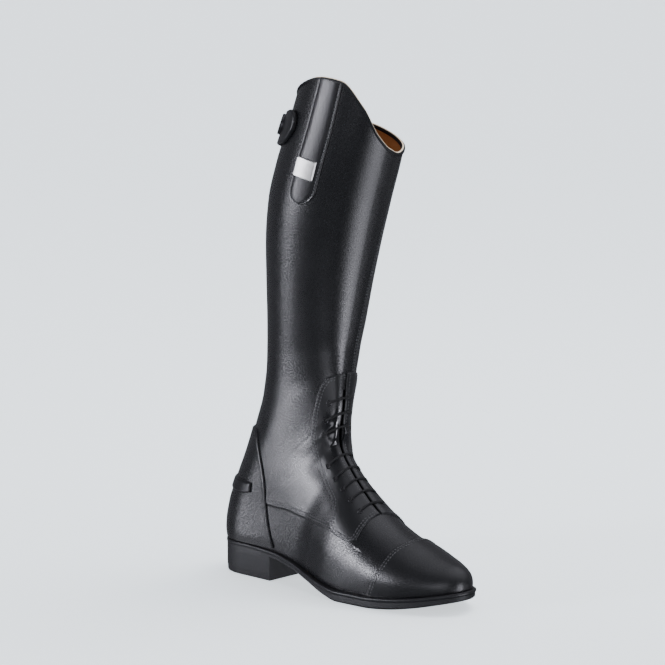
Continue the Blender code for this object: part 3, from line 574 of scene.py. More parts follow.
def to_frame(points: Array) -> Array:
    """Points in the boot's own millimetres as metres in the shared frame."""
    return (np.asarray(points, float) - (MIDDLE_X, MIDDLE_Y, 0.0)) * MM


class Bench:
    """Blender operators that every piece goes through."""

    @staticmethod
    def start() -> None:
        """Leave nothing selected and no object in edit mode."""
        if bpy.context.object and bpy.context.object.mode != "OBJECT":
            bpy.ops.object.mode_set(mode="OBJECT")
        bpy.ops.object.select_all(action="DESELECT")

    @staticmethod
    def pick(item: Item) -> None:
        """Make one object the only selected one and the active one."""
        Bench.start()
        bpy.context.view_layer.objects.active = item
        item.select_set(True)

    @staticmethod
    @contextmanager
    def editing(item: Item, select: str = "SELECT") -> Iterator[None]:
        """Edit mode on one object, after an action on what is selected of it unless that is empty."""
        Bench.pick(item)
        bpy.ops.object.mode_set(mode="EDIT")
        if select:
            bpy.ops.mesh.select_all(action=select)
        yield
        bpy.ops.object.mode_set(mode="OBJECT")

    @staticmethod
    def grid(name: str, points: Array) -> Item:
        """Map a grid primitive onto rows and columns of points.

        Args:
            name: Name of the piece.
            points: Rows and columns of points in millimetres.

        Returns:
            The new object, with its faces turned outwards where the columns run to the left of the rows.
        """
        Bench.start()
        rows, columns = points.shape[:2]
        bpy.ops.mesh.primitive_grid_add(x_subdivisions=columns - 1, y_subdivisions=rows - 1)
        item = bpy.context.object
        item.name = item.data.name = name
        item.data.vertices.foreach_set("co", to_frame(points).ravel())
        item.data.update()
        return item

    @staticmethod
    def mark(item: Item, name: str, values: Array) -> None:
        """Store one number for each point of a mesh, for its finish to read."""
        layer = item.data.attributes.new(name, "FLOAT", "POINT")
        layer.data.foreach_set("value", np.asarray(values, float).ravel())

    @staticmethod
    def choose_faces(item: Item, chosen: Array) -> None:
        """Select the faces that are marked true, and nothing else of the mesh."""
        with Bench.editing(item, "DESELECT"):
            pass
        item.data.polygons.foreach_set("select", chosen)

    @staticmethod
    def weld(item: Item, distance: float = 0.01, turn_out: bool = False) -> None:
        """Merge points that lie together, and turn the faces of a closed shape outwards if asked."""
        with Bench.editing(item):
            bpy.ops.mesh.remove_doubles(threshold=distance * MM)
            if turn_out:
                bpy.ops.mesh.normals_make_consistent(inside=False)

    @staticmethod
    def modify(item: Item, kind: str, **settings: float | str | bool) -> None:
        """Add a modifier, set it and apply it."""
        Bench.pick(item)
        modifier = item.modifiers.new(kind.title(), kind)
        for name, value in settings.items():
            setattr(modifier, name, value)
        bpy.ops.object.modifier_apply(modifier=modifier.name)

    @staticmethod
    def thicken(item: Item, thick: float) -> None:
        """Give a sheet its thickness, inwards from its face."""
        Bench.modify(item, "SOLIDIFY", thickness=thick * MM, offset=-1.0, use_even_offset=False, use_rim=True)

    @staticmethod
    def smooth(item: Item, angle: float) -> None:
        """Shade smooth, with edges sharper than an angle in degrees kept crisp."""
        Bench.pick(item)
        bpy.ops.object.shade_smooth_by_angle(angle=math.radians(angle))

    @staticmethod
    def loft(name: str, sections: Array, fill: bool = False) -> Item:
        """A closed body from loops of points one after another.

        Args:
            name: Name of the piece.
            sections: Sections and the points round each, without the first repeated.
            fill: Whether the end loops are open, so that they have to be filled.

        Returns:
            The new object.
        """
        item = Bench.grid(name, np.concatenate([sections, sections[:, :1]], axis=1))
        Bench.weld(item, turn_out=True)
        if fill:
            with Bench.editing(item, "DESELECT"):
                bpy.ops.mesh.select_non_manifold()
                bpy.ops.mesh.fill()
                bpy.ops.mesh.select_all(action="SELECT")
                bpy.ops.mesh.normals_make_consistent(inside=False)
        return item

    @staticmethod
    def scattered(name: str, shape: tuple[Array, Array], centres: Array, frames: Array) -> Item:
        """Copies of one small shape joined into a single mesh.

        Args:
            name: Name of the piece.
            shape: Points and faces of the small shape, in millimetres.
            centres: Where each copy goes.
            frames: The three axes of each copy as rows.

        Returns:
            The new object.
        """
        points, faces = shape
        placed = np.einsum("pk,nkj->npj", points, frames) + centres[:, None, :]
        numbers = faces[None] + (np.arange(len(centres)) * len(points))[:, None, None]
        mesh = bpy.data.meshes.new(name)
        mesh.from_pydata(to_frame(placed.reshape(-1, 3)), [], numbers.reshape(-1, faces.shape[1]).tolist())
        mesh.update()
        item = bpy.data.objects.new(name, mesh)
        bpy.context.collection.objects.link(item)
        return item

    @staticmethod
    def shape_of(item: Item) -> tuple[Array, Array]:
        """Points in millimetres and three-sided faces, in a settled order, of an object that is then removed."""
        item.data.calc_loop_triangles()
        points = np.array([item.matrix_world @ v.co for v in item.data.vertices]) / MM
        faces = np.array([triangle.vertices[:] for triangle in item.data.loop_triangles])
        lowest = faces.argmin(axis=1)[:, None]
        faces = np.take_along_axis(faces, (lowest + np.arange(3)) % 3, axis=1)
        faces = faces[np.lexsort(faces.T[::-1])]
        mesh = item.data
        bpy.data.objects.remove(item)
        bpy.data.meshes.remove(mesh)
        return points, faces

    @staticmethod
    def seat(item: Item, centre: Array, axes: Array) -> None:
        """Put a shape that was modelled in millimetres at the origin onto the boot, place in its mesh."""
        points = np.array([v.co for v in item.data.vertices]) @ np.asarray(axes) + np.asarray(centre)
        item.matrix_world = Matrix.Identity(4)
        item.data.vertices.foreach_set("co", to_frame(points).ravel())
        item.data.update()


class Value:
    """A shader socket on which sums can be written."""

    def __init__(self, weaver: "Weaver", socket: bpy.types.NodeSocket) -> None:
        """Wrap a socket of the weaver's tree."""
        self.weaver = weaver
        self.socket = socket

    def _sum(self, operation: str, first: "Value | float", second: "Value | float") -> "Value":
        """One Math node."""
        return self.weaver.value("ShaderNodeMath", {"operation": operation}, {0: first, 1: second})

    def __add__(self, other: "Value | float") -> "Value":
        """This plus another."""
        return self._sum("ADD", self, other)

    __radd__ = __add__

    def __mul__(self, other: "Value | float") -> "Value":
        """This times another."""
        return self._sum("MULTIPLY", self, other)

    __rmul__ = __mul__

    def __sub__(self, other: "Value | float") -> "Value":
        """This less another."""
        return self._sum("SUBTRACT", self, other)

    def __rsub__(self, other: float) -> "Value":
        """A number less this."""
        return self._sum("SUBTRACT", other, self)

    def stepped(self, low: float, high: float) -> "Value":
        """A smooth step from 0 at low to 1 at high."""
        settings = {"interpolation_type": "SMOOTHSTEP"}
        return self.weaver.value("ShaderNodeMapRange", settings, {0: self, 1: low, 2: high})


Color = tuple[float, float, float]


class Weaver:
    """A tree of shader nodes and the nodes that are added to it."""

    def __init__(self, tree: bpy.types.NodeTree, place: str) -> None:
        """Start from a tree and the texture places that its patterns lie in."""
        self.tree = tree
        self.place = self.value("ShaderNodeTexCoord", {}, {}, place)

    def node(
        self, kind: str, settings: dict[str, object], inputs: dict[int | str, object]
    ) -> bpy.types.Node:
        """Add a node.

        Args:
            kind: Type of the node.
            settings: Its own settings, set first.
            inputs: Values or links of its sockets.

        Returns:
            The node.
        """
        made = self.tree.nodes.new(kind)
        for name, setting in settings.items():
            setattr(made, name, setting)
        for key, given in inputs.items():
            self.feed(made.inputs[key], given)
        return made

    def feed(self, socket: bpy.types.NodeSocket, given: object) -> None:
        """Link a socket or set its value."""
        if isinstance(given, Value):
            self.tree.links.new(given.socket, socket)
        else:
            socket.default_value = given

    def value(
        self,
        kind: str,
        settings: dict[str, object],
        inputs: dict[int | str, object],
        output: int | str = 0,
    ) -> Value:
        """Add a node and wrap one of its outputs."""
        return Value(self, self.node(kind, settings, inputs).outputs[output])


class Sky(Weaver):
    """Surroundings that glow in soft patches, as boxes of light do in a dark studio."""

    def __init__(self, name: str) -> None:
        """Start a world with its Background shader."""
        self.world = bpy.data.worlds.new(name)
        self.world.use_nodes = True
        super().__init__(self.world.node_tree, "Generated")
        self.shader = self.tree.nodes["Background"]

    def patch(self, azimuth: float, height: float, full: float, gone: float) -> Value:
        """A round patch of light.

        Args:
            azimuth: Direction of its middle in degrees, 0 on the boot's outer side and 90 at its toe.
            height: Angle of its middle over the horizon in degrees.
            full: Angle from the middle within which it is at full strength.
            gone: Angle from the middle at which it has died away.

        Returns:
            Its strength from 0 to 1.
        """
        turn, rise = math.radians(azimuth), math.radians(height)
        way = (math.cos(rise) * math.sin(turn), -math.cos(rise) * math.cos(turn), math.sin(rise))
        settings = {"operation": "DOT_PRODUCT"}
        facing = self.value("ShaderNodeVectorMath", settings, {0: self.place, 1: way}, "Value")
        return facing.stepped(math.cos(math.radians(gone)), math.cos(math.radians(full)))


class Dresser(Weaver):
    """One material and the nodes that are added to it."""

    def __init__(self, name: str) -> None:
        """Start a material with its Principled shader."""
        self.material = bpy.data.materials.new(name)
        self.material.use_nodes = True
        super().__init__(self.material.node_tree, "Object")
        self.shader = self.tree.nodes["Principled BSDF"]

    def noise(
        self, size: float, detail: float = 2.0, rough: float = 0.5, place: Value | None = None
    ) -> Value:
        """Soft random values with features of a size in millimetres."""
        inputs = {"Vector": place or self.place, "Scale": 1 / (size * MM)}
        return self.value("ShaderNodeTexNoise", {}, {**inputs, "Detail": detail, "Roughness": rough})

    def cells(self, size: float) -> Value:
        """Distances in a pattern of cells of a size in millimetres."""
        return self.value("ShaderNodeTexVoronoi", {}, {"Vector": self.place, "Scale": 1 / (size * MM)})

    def stretched(self, scale: tuple[float, float, float]) -> Value:
        """Object places stretched along the axes."""
        return self.value("ShaderNodeMapping", {}, {"Vector": self.place, "Scale": scale})

    def mark(self, name: str) -> Value:
        """A number stored on the mesh."""
        return self.value("ShaderNodeAttribute", {"attribute_name": name}, {}, "Fac")

    def blend(self, share: Value, first: Color | Value, second: Color | Value) -> Value:
        """A colour between two."""
        ends = [(*end, 1.0) if isinstance(end, tuple) else end for end in (first, second)]
        return self.value("ShaderNodeMix", {"data_type": "RGBA"}, {0: share, 6: ends[0], 7: ends[1]}, 2)

    def bump(self, height: Value, deep: float) -> None:
        """Relief of a depth in millimetres from a height between 0 and 1."""
        self.set("Normal", self.value("ShaderNodeBump", {}, {"Height": height, "Distance": deep * MM}))

    def set(self, name: str, given: Value | Color | float) -> None:
        """Set or link one socket of the Principled shader."""
        self.feed(self.shader.inputs[name], (*given, 1.0) if isinstance(given, tuple) else given)


@dataclass(frozen=True)
class Leather:
    """Grained leather, glossier where it is marked as polished and duller at its cut edges."""

    name: str
    color: Color = (0.0026, 0.0028, 0.0034)
    rubbed: Color = (0.009, 0.0094, 0.0105)
    shine: float = 0.45
    roughness: float = 0.28
    polished: float = 0.12
    swing: float = 0.24
    grain: float = 1.05
    pore: float = 0.45
    cloud: float = 45.0
    deep: float = 0.13
    coat: float = 0.0
    coat_roughness: float = 0.25

    def make(self) -> bpy.types.Material:
        """Build the material."""
        dresser = Dresser(self.name)
        pebble = dresser.cells(self.grain)
        pores = dresser.noise(self.grain * self.pore, 3.0, 0.6)
        cloud = dresser.noise(self.cloud)
        rim = dresser.mark("rim")
        grain = pebble * 0.55 + pores * 0.6
        tone = (cloud - 0.5) * 0.5 + (grain - 0.55) * 0.35 + rim * 0.35 + 0.3
        dresser.set("Base Color", dresser.blend(tone, self.color, self.rubbed))
        gloss = dresser.mark("gloss")
        rough = self.roughness + (grain - 0.55) * self.swing + (cloud - 0.5) * 0.08
        dresser.set("Roughness", rough + gloss * (self.polished - rough))
        dresser.set("Specular IOR Level", self.shine)
        dresser.set("Coat Weight", self.coat)
        dresser.set("Coat Roughness", self.coat_roughness)
        dresser.bump((1.0 - grain) * (1.0 - gloss * 0.8), self.deep)
        return dresser.material


@dataclass(frozen=True)
class Lining:
    """Soft tan leather inside the boot."""

    name: str
    color: Color = (0.30, 0.13, 0.045)
    pale: Color = (0.42, 0.21, 0.085)
    roughness: float = 0.68
    cloud: float = 18.0
    nap: float = 0.7
    deep: float = 0.1

    def make(self) -> bpy.types.Material:
        """Build the material."""
        dresser = Dresser(self.name)
        cloud = dresser.noise(self.cloud, 4.0, 0.6)
        nap = dresser.noise(self.nap, 3.0, 0.7)
        dresser.set("Base Color", dresser.blend(cloud * 0.7 + nap * 0.3, self.color, self.pale))
        dresser.set("Roughness", self.roughness + nap * 0.15)
        dresser.bump(nap, self.deep)
        return dresser.material


@dataclass(frozen=True)
class Rubber:
    """Matte moulded rubber with a fine moulded texture."""

    name: str
    color: Color = (0.008, 0.008, 0.009)
    dusty: Color = (0.014, 0.014, 0.015)
    roughness: float = 0.5
    shine: float = 0.25
    ribs: bool = False
    rib: float = 18.0
    rib_edge: tuple[float, float] = (0.25, 0.6)
    skin: float = 0.6
    cloud: float = 30.0
    deep: float = 0.5

    def make(self) -> bpy.types.Material:
        """Build the material."""
        dresser = Dresser(self.name)
        skin = dresser.noise(self.skin, 2.0, 0.6)
        cloud = dresser.noise(self.cloud, 3.0)
        dresser.set("Base Color", dresser.blend(cloud * 0.7 + skin * 0.3, self.color, self.dusty))
        dresser.set("Roughness", self.roughness + (skin - 0.5) * 0.15)
        dresser.set("Specular IOR Level", self.shine)
        height = skin * 0.25
        if self.ribs:
            height = height + dresser.mark("tread") * self.diamonds(dresser)
        dresser.bump(height, self.deep)
        return dresser.material

    def diamonds(self, dresser: Dresser) -> Value:
        """Fine crossed ribs of the tread."""
        turned = dresser.value(
            "ShaderNodeMapping", {}, {"Vector": dresser.place, "Rotation": (0.0, 0.0, math.radians(45.0))}
        )
        waves = {"Vector": turned, "Scale": 1 / (self.rib * MM)}
        first, second = (
            dresser.value("ShaderNodeTexWave", {"bands_direction": axis}, waves, "Fac") for axis in "XY"
        )
        return first.stepped(*self.rib_edge) * second.stepped(*self.rib_edge)


@dataclass(frozen=True)
class Metal:
    """Metal or lacquered metal with fine scratches."""

    name: str
    color: Color
    dark: Color
    roughness: float = 0.25
    metallic: float = 1.0
    scratch: float = 1.2
    smear: float = 6.0
    deep: float = 0.02

    def make(self) -> bpy.types.Material:
        """Build the material."""
        dresser = Dresser(self.name)
        brush = dresser.noise(self.scratch, 3.0, 0.6, dresser.stretched((0.08, 1.0, 1.0)))
        smear = dresser.noise(self.smear)
        dresser.set("Base Color", dresser.blend(smear * 0.6 + brush * 0.2, self.color, self.dark))
        dresser.set("Roughness", self.roughness + (brush - 0.5) * 0.15)
        dresser.set("Metallic", self.metallic)
        dresser.bump(brush, self.deep)
        return dresser.material


@dataclass(frozen=True)
class Thread:
    """Twisted or woven thread. Its dark colour is painted lighter on the raised middle of each strand as painted
    highlight, and darker in the grooves between strands as painted shade.
    """

    name: str
    color: Color = (0.02, 0.02, 0.021)
    painted_highlight: Color = (0.07, 0.07, 0.073)
    roughness: float = 0.5
    twist: float = 0.6
    deep: float = 0.15
    fuzz: float = 0.3

    def make(self) -> bpy.types.Material:
        """Build the material."""
        dresser = Dresser(self.name)
        strand = dresser.cells(self.twist)
        fuzz = dresser.noise(self.fuzz)
        # Painted highlight on the raised strand middles and painted shade in the grooves between them, following
        # the bump set below.
        dresser.set("Base Color", dresser.blend(strand * 0.8 + fuzz * 0.2, self.painted_highlight, self.color))
        dresser.set("Roughness", self.roughness + fuzz * 0.2)
        dresser.bump(1.0 - strand, self.deep)
        return dresser.material


class Wardrobe:
    """Every finish of the boot, made once."""

    def __init__(self) -> None:
        """Make the materials."""
        self.upper = Leather("upper_leather").make()
        self.cap = Leather("cap_leather", roughness=0.32).make()
        self.facing = Leather("facing_leather", roughness=0.34, polished=0.1).make()
        self.strap = Leather("strap_leather", roughness=0.32, deep=0.06).make()
        self.tongue = Leather("tongue_leather", roughness=0.16, swing=0.06, deep=0.05, coat=0.3).make()
        self.piping = Leather("piping_leather", roughness=0.5, shine=0.25, grain=0.9, deep=0.05).make()
        self.lining = Lining("tan_lining").make()
        self.pale_edge = Lining("cream_edge", (0.62, 0.5, 0.36), (0.72, 0.62, 0.48)).make()
        self.rubber = Rubber("sole_rubber", ribs=True).make()
        self.welt = Rubber("welt_rubber", (0.007, 0.007, 0.008), (0.013, 0.013, 0.014), 0.36).make()
        # The second colour given to the stitch thread, lace and zip tape is their painted strand highlight.
        self.thread = Thread("stitch_thread").make()
        self.lace = Thread("lace_cord", (0.002, 0.002, 0.0022), (0.008, 0.008, 0.009), 0.7, 0.7, 0.2).make()
        self.tape = Thread("zip_tape", (0.008, 0.008, 0.009), (0.024, 0.024, 0.025), 0.75, 0.8, 0.2).make()
        self.eyelet = Metal("eyelet_lacquer", (0.02, 0.02, 0.022), (0.012, 0.012, 0.013), 0.28, 0.6).make()
        self.steel = Metal("plate_steel", (0.42, 0.42, 0.41), (0.3, 0.3, 0.29), 0.36).make()
        self.teeth = Metal("zip_teeth", (0.05, 0.05, 0.053), (0.03, 0.03, 0.032), 0.35, 0.7).make()
        self.stud = Metal("stud_lacquer", (0.035, 0.035, 0.038), (0.02, 0.02, 0.022), 0.3, 0.7).make()


def dress(
    item: Item,
    material: bpy.types.Material,
    replaced: Sequence[str] = (),
    angle: float = 60.0,
) -> None:
    """Finish a piece and hang it on the boot's body.

    Args:
        item: The piece.
        material: Its finish.
        replaced: Solids that it stands for.
        angle: Angle in degrees above which its edges stay crisp.
    """
    item.data.materials.clear()
    item.data.materials.append(material)
    Bench.smooth(item, angle)
    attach(item, BODY)
    if replaced:
        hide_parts(*replaced)
    LOG.info("%s: %d faces", item.name, len(item.data.polygons))


@dataclass
class Sole:
    """Outsole with its heel block, welt and insole."""

    shape: SoleShape
    welt_thick: float = 3.0
    gap: float = 0.3
    breast_slope: float = 0.8
    insole_clear: float = 2.8
    heel_steps: int = 20
    seat_steps: int = 10
    waist_steps: int = 60
    toe_steps: int = 44
    across: int = 8
    tread_facing: float = 0.9
    tread_fade: float = 0.05
    outsole: Table = Table(
        ("inset", "share", "up"),
        (
            (2.9, 0.0, 0.0), (2.34, 0.0, 0.24), (2.1, 0.0, 0.8), (0.9, 0.3, 0.0),
            (0.9, 0.75, 0.0), (0.9, 1.0, -0.4), (1.25, 1.0, 0.0),
        ),
    )
    welt: Table = Table(
        ("inset", "up"), ((0.35, -3.0), (0.0, -2.65), (0.0, -1.1), (0.25, -0.45), (0.9, 0.0))
    )
    insole: Table = Table(("inset", "up"), ((5.0, 0.4), (5.0, 2.3), (5.6, 2.9)))

    def stations(self) -> Array:
        """Places along the sole, close together round its ends."""
        shape = self.shape
        heel = shape.heel_round * (1 - np.cos(np.linspace(0, math.pi / 2, self.heel_steps)))
        toe = shape.length - shape.toe_round * (1 - np.sin(np.linspace(0, math.pi / 2, self.toe_steps)))
        seat = np.linspace(shape.heel_round, shape.breast, self.seat_steps)[1:]
        waist = np.linspace(shape.breast + self.breast_slope, toe[0], self.waist_steps)[:-1]
        return np.concatenate([heel, seat, waist, toe])

    def sections(self, rings: Sequence[tuple[float, Callable[[Array], Array]]], extra: float = 0.0) -> Array:
        """Cross-sections of a layer of the sole.

        Args:
            rings: Inset and height of each ring round the layer, from its underside to its top.
            extra: How far all of them are drawn in evenly.

        Returns:
            Sections and the points round each.
        """
        x = self.stations()
        sides: dict[Side, list[Array]] = {Side.OUTER: [], Side.INNER: []}
        for inset, height in rings:
            back = inset * self.shape.heel_inset_share + extra
            at = back + (self.shape.length - inset - extra - back) * x / self.shape.length
            for side, lines in sides.items():
                lines.append(np.stack([at, self.shape.edge(at, side, inset, extra), height(x)], axis=-1))
        outer, inner = sides[Side.OUTER], sides[Side.INNER]
        shares = np.linspace(0, 1, self.across + 2)[1:-1]
        top = [outer[-1] + (inner[-1] - outer[-1]) * share for share in shares]
        under = [inner[0] + (outer[0] - inner[0]) * share for share in shares]
        return np.stack(outer + top + inner[::-1] + under, axis=1)

    def build(self, wardrobe: Wardrobe) -> None:
        """Make the three layers."""
        feather, tread = self.shape.feather_z, self.shape.tread_z

        def between(share: float, up: float) -> Callable[[Array], Array]:
            """Height of a ring of the outsole by its share of the way up."""
            return lambda x: tread(x) + (feather(x) - self.welt_thick - self.gap - tread(x)) * share + up

        def over(up: float) -> Callable[[Array], Array]:
            """Height of a ring over the sole's upper face."""
            return lambda x: feather(x) + up

        rings = [(inset, between(share, up)) for inset, share, up in self.outsole.rows]
        outsole = Bench.loft("outsole_sheet", self.sections(rings))
        facing = np.array([-v.normal.z for v in outsole.data.vertices])
        Bench.mark(outsole, "tread", np.clip((facing - self.tread_facing) / self.tread_fade, 0.0, 1.0))
        dress(outsole, wardrobe.rubber, ["outsole"], 30.0)
        rings = [(inset, over(up)) for inset, up in self.welt.rows]
        dress(Bench.loft("welt_layer", self.sections(rings)), wardrobe.welt, ["welt"], 50.0)
        rings = [(inset, over(up)) for inset, up in self.insole.rows]
        insole = Bench.loft("insole_board", self.sections(rings, self.insole_clear))
        dress(insole, wardrobe.lining, ["insole"], 50.0)


@dataclass
class Upper:
    """Vamp, quarters and shaft, with the lining inside them."""

    last: Last
    wall: float = 1.2
    lining_lift: float = -1.35
    lining_thick: float = 0.55
    slit: float = 0.03
    back_slit: float = 0.03
    throat: tuple[float, float] = (8.0, 20.0)
    split_row: float = 21.5
    low_step: float = 0.1
    toe_rows: int = 14
    leg_rows: int = 96
    front_columns: int = 12
    side_columns: int = 34
    vamp_columns: int = 22
    hem: float = 0.0035
    lap: float = 0.75
    lap_reach: float = 0.2
    lap_rows: tuple[float, float, float, float] = (7.4, 8.0, 13.6, 14.4)
    front_lap: float = 0.5
    front_reach: float = 0.08
    front_rows: tuple[float, float] = (20.6, 21.4)
    on_seam: float = 1e-9
    toe_end: float = 2.0
    split_blend: float = 1.2
    throat_clear: float = 0.031
    lining_clear: float = 0.17
    lining_first: float = 5.0
    lining_fine: int = 2
    seam: Table = Table(
        ("row", "turn"),
        (
            (7.0, 0.56), (8.06, 0.556), (8.63, 0.566), (9.36, 0.612), (9.86, 0.65),
            (10.48, 0.69), (11.36, 0.724), (12.34, 0.722), (13.54, 0.684), (16.0, 0.6),
            (21.5, 0.55), (30.0, 0.5),
        ),
    )
    front_seam: Table = Table(
        ("row", "turn"),
        (
            (0.0, 0.2), (16.0, 0.16), (20.85, 0.11), (24.0, 0.098), (25.64, 0.117),
            (27.07, 0.143), (28.14, 0.152), (30.0, 0.162),
        ),
    )

    def turns(self, r: Array, fine: int) -> Array:
        """Turns of one side's columns at each section, drawn together at the two seams.

        Args:
            r: Sections, as a column.
            fine: Divides the number of columns.

        Returns:
            Rows and columns of turns from the throat to the far end.
        """
        seam, front = self.seam.smooth("turn", r), self.front_seam.smooth("turn", r)
        end = 1 - self.back_slit * ease((r - self.split_row) / self.split_blend)
        slit, hem = np.full_like(r, self.slit), self.hem
        knots = (slit, front - hem, front, seam - hem, seam, seam + hem, end)
        counts = (self.front_columns // fine, 1, self.side_columns // fine, 1, 1, self.vamp_columns // fine)
        parts = [
            low + (high - low) * np.linspace(0, 1, count + 1)[:-1]
            for low, high, count in zip(knots[:-1], knots[1:], counts)
        ]
        return np.concatenate([*parts, end], axis=1)

    def places(self, first: float, fine: int = 1) -> tuple[Array, Array]:
        """Sections and turns of the upper's grid.

        Args:
            first: Section that the grid starts from.
            fine: Divides the number of rows and columns.

        Returns:
            Rows and columns of sections, and of turns.
        """
        toe = np.linspace(0.0, self.toe_end, self.toe_rows)[:-1]
        low = np.concatenate([toe, np.arange(self.toe_end, self.split_row + 0.001, self.low_step * fine)])
        low = low[low >= first]
        count = self.leg_rows // fine
        leg = self.split_row + (self.last.last_row - self.split_row) * np.arange(1, count + 1) / count
        base = np.concatenate([low, leg])[:, None]
        half = self.turns(base, fine)
        t = np.concatenate([-half[:, ::-1], half], axis=1)
        top = self.last.collar_row(t[-1])
        share = np.clip((base - self.split_row) / (self.last.last_row - self.split_row), 0.0, 1.0)
        r = np.where(base <= self.split_row, base, self.split_row + (top[None] - self.split_row) * share)
        return r, t

    def relief(self, r: Array, t: Array) -> Array:
        """Height of lapped seams over the plain surface."""
        turn, seam = np.abs(t), self.seam.smooth("turn", r)
        inside = np.clip(1 - (seam - turn) / self.lap_reach, 0.0, 1.0)
        side = np.where(turn <= seam + self.on_seam, inside**2, 0.0)
        front = self.front_seam.smooth("turn", r)
        past = np.clip(1 - (front - t) / self.front_reach, 0.0, 1.0)
        shin = np.where((t <= front + self.on_seam) & (t > 0), past**2, 0.0)
        low, high = self.front_rows
        shin = shin * ease((r - low) / (high - low))
        return self.lap * window(r, *self.lap_rows) * side + self.front_lap * shin

    def sheet(self, name: str, first: float, lift: float, fine: int, clear: float) -> Item:
        """One layer of the upper, cut open down the throat.

        Args:
            name: Name of the piece.
            first: Section that it starts from.
            lift: Its height over the plain surface.
            fine: Divides the number of rows and columns.
            clear: Turn on either side of the throat within which it is cut away.

        Returns:
            The layer without its thickness.
        """
        r, t = self.places(first, fine)
        height = self.relief(r, t) + lift
        item = Bench.grid(name, self.last.lifted(r, t, height))
        turn = np.maximum(np.abs(t[:-1, :-1]), np.abs(t[:-1, 1:]))
        row = r[:-1, :-1]
        opened = (row >= self.throat[0] - 0.01) & (row < self.throat[1]) & (turn < clear)
        Bench.choose_faces(item, opened.ravel())
        with Bench.editing(item, ""):
            bpy.ops.mesh.delete(type="FACE")
        Bench.weld(item)
        return item

    def build(self, wardrobe: Wardrobe) -> None:
        """Make the leather and its lining."""
        leather = self.sheet("upper_leather", 0.0, 0.0, 1, self.throat_clear)
        Bench.thicken(leather, self.wall)
        dress(leather, wardrobe.upper, ["upper"])
        places = (self.lining_first, self.lining_lift, self.lining_fine, self.lining_clear)
        lining = self.sheet("leg_lining", *places)
        Bench.thicken(lining, self.lining_thick)
        dress(lining, wardrobe.lining)


@dataclass
class Overlay:
    """A panel sewn on the upper, with rounded edges."""

    last: Last
    thick: float
    low: float = 0.12
    radius: float = 1.2
    wall: float = 0.5
    rim_share: float = 0.8

    def sheet(
        self,
        name: str,
        r: Array,
        t: Array,
        edges: Sequence[Edge],
        more: Array | float = 0.0,
        gloss: Array | None = None,
    ) -> Item:
        """Make the panel.

        Args:
            name: Name of the piece.
            r: Rows and columns of sections.
            t: Rows and columns of turns.
            edges: Edges that are rounded down to the upper.
            more: Height added to the panel's own, away from its edges.
            gloss: How far each point is worn glossy.

        Returns:
            The panel as a closed body.
        """
        inward = edge_distance(self.last.point(r, t), edges)
        up = quarter_round(inward / self.radius)
        item = Bench.grid(name, self.last.lifted(r, t, self.low + (self.thick + more) * up))
        Bench.mark(item, "rim", bell(inward / (self.rim_share * self.radius)))
        if gloss is not None:
            Bench.mark(item, "gloss", gloss)
        Bench.weld(item, 0.002)
        Bench.thicken(item, self.wall)
        return item


@dataclass
class ToeCap:
    """Cap over the toe."""

    last: Last
    thick: float = 1.6
    columns: int = 150
    lines: int = 70
    seam: Table = Table(
        ("turn", "row"),
        (
            (-1.0, 6.88), (-0.8, 6.68), (-0.6, 6.49), (-0.35, 6.4), (-0.1, 6.28),
            (0.15, 6.34), (0.3, 6.4), (0.6, 6.52), (1.0, 6.88),
        ),
    )

    def build(self, wardrobe: Wardrobe) -> None:
        """Make the cap, with its rows crowded towards the seam."""
        t = np.linspace(-1, 1, self.columns)[None]
        share = np.sin(np.linspace(0, math.pi / 2, self.lines))[:, None]
        r, t = np.broadcast_arrays(share * self.seam.smooth("row", t), t)
        cap = Overlay(self.last, self.thick).sheet("toe_cap_leather", r, t, [Edge.LAST_ROW])
        dress(cap, wardrobe.cap, ["toe_cap"])

    def edge(self) -> tuple[Array, Array]:
        """The cap's seam as sections and turns."""
        t = np.linspace(-0.985, 0.985, 200)
        return self.seam.smooth("row", t), t


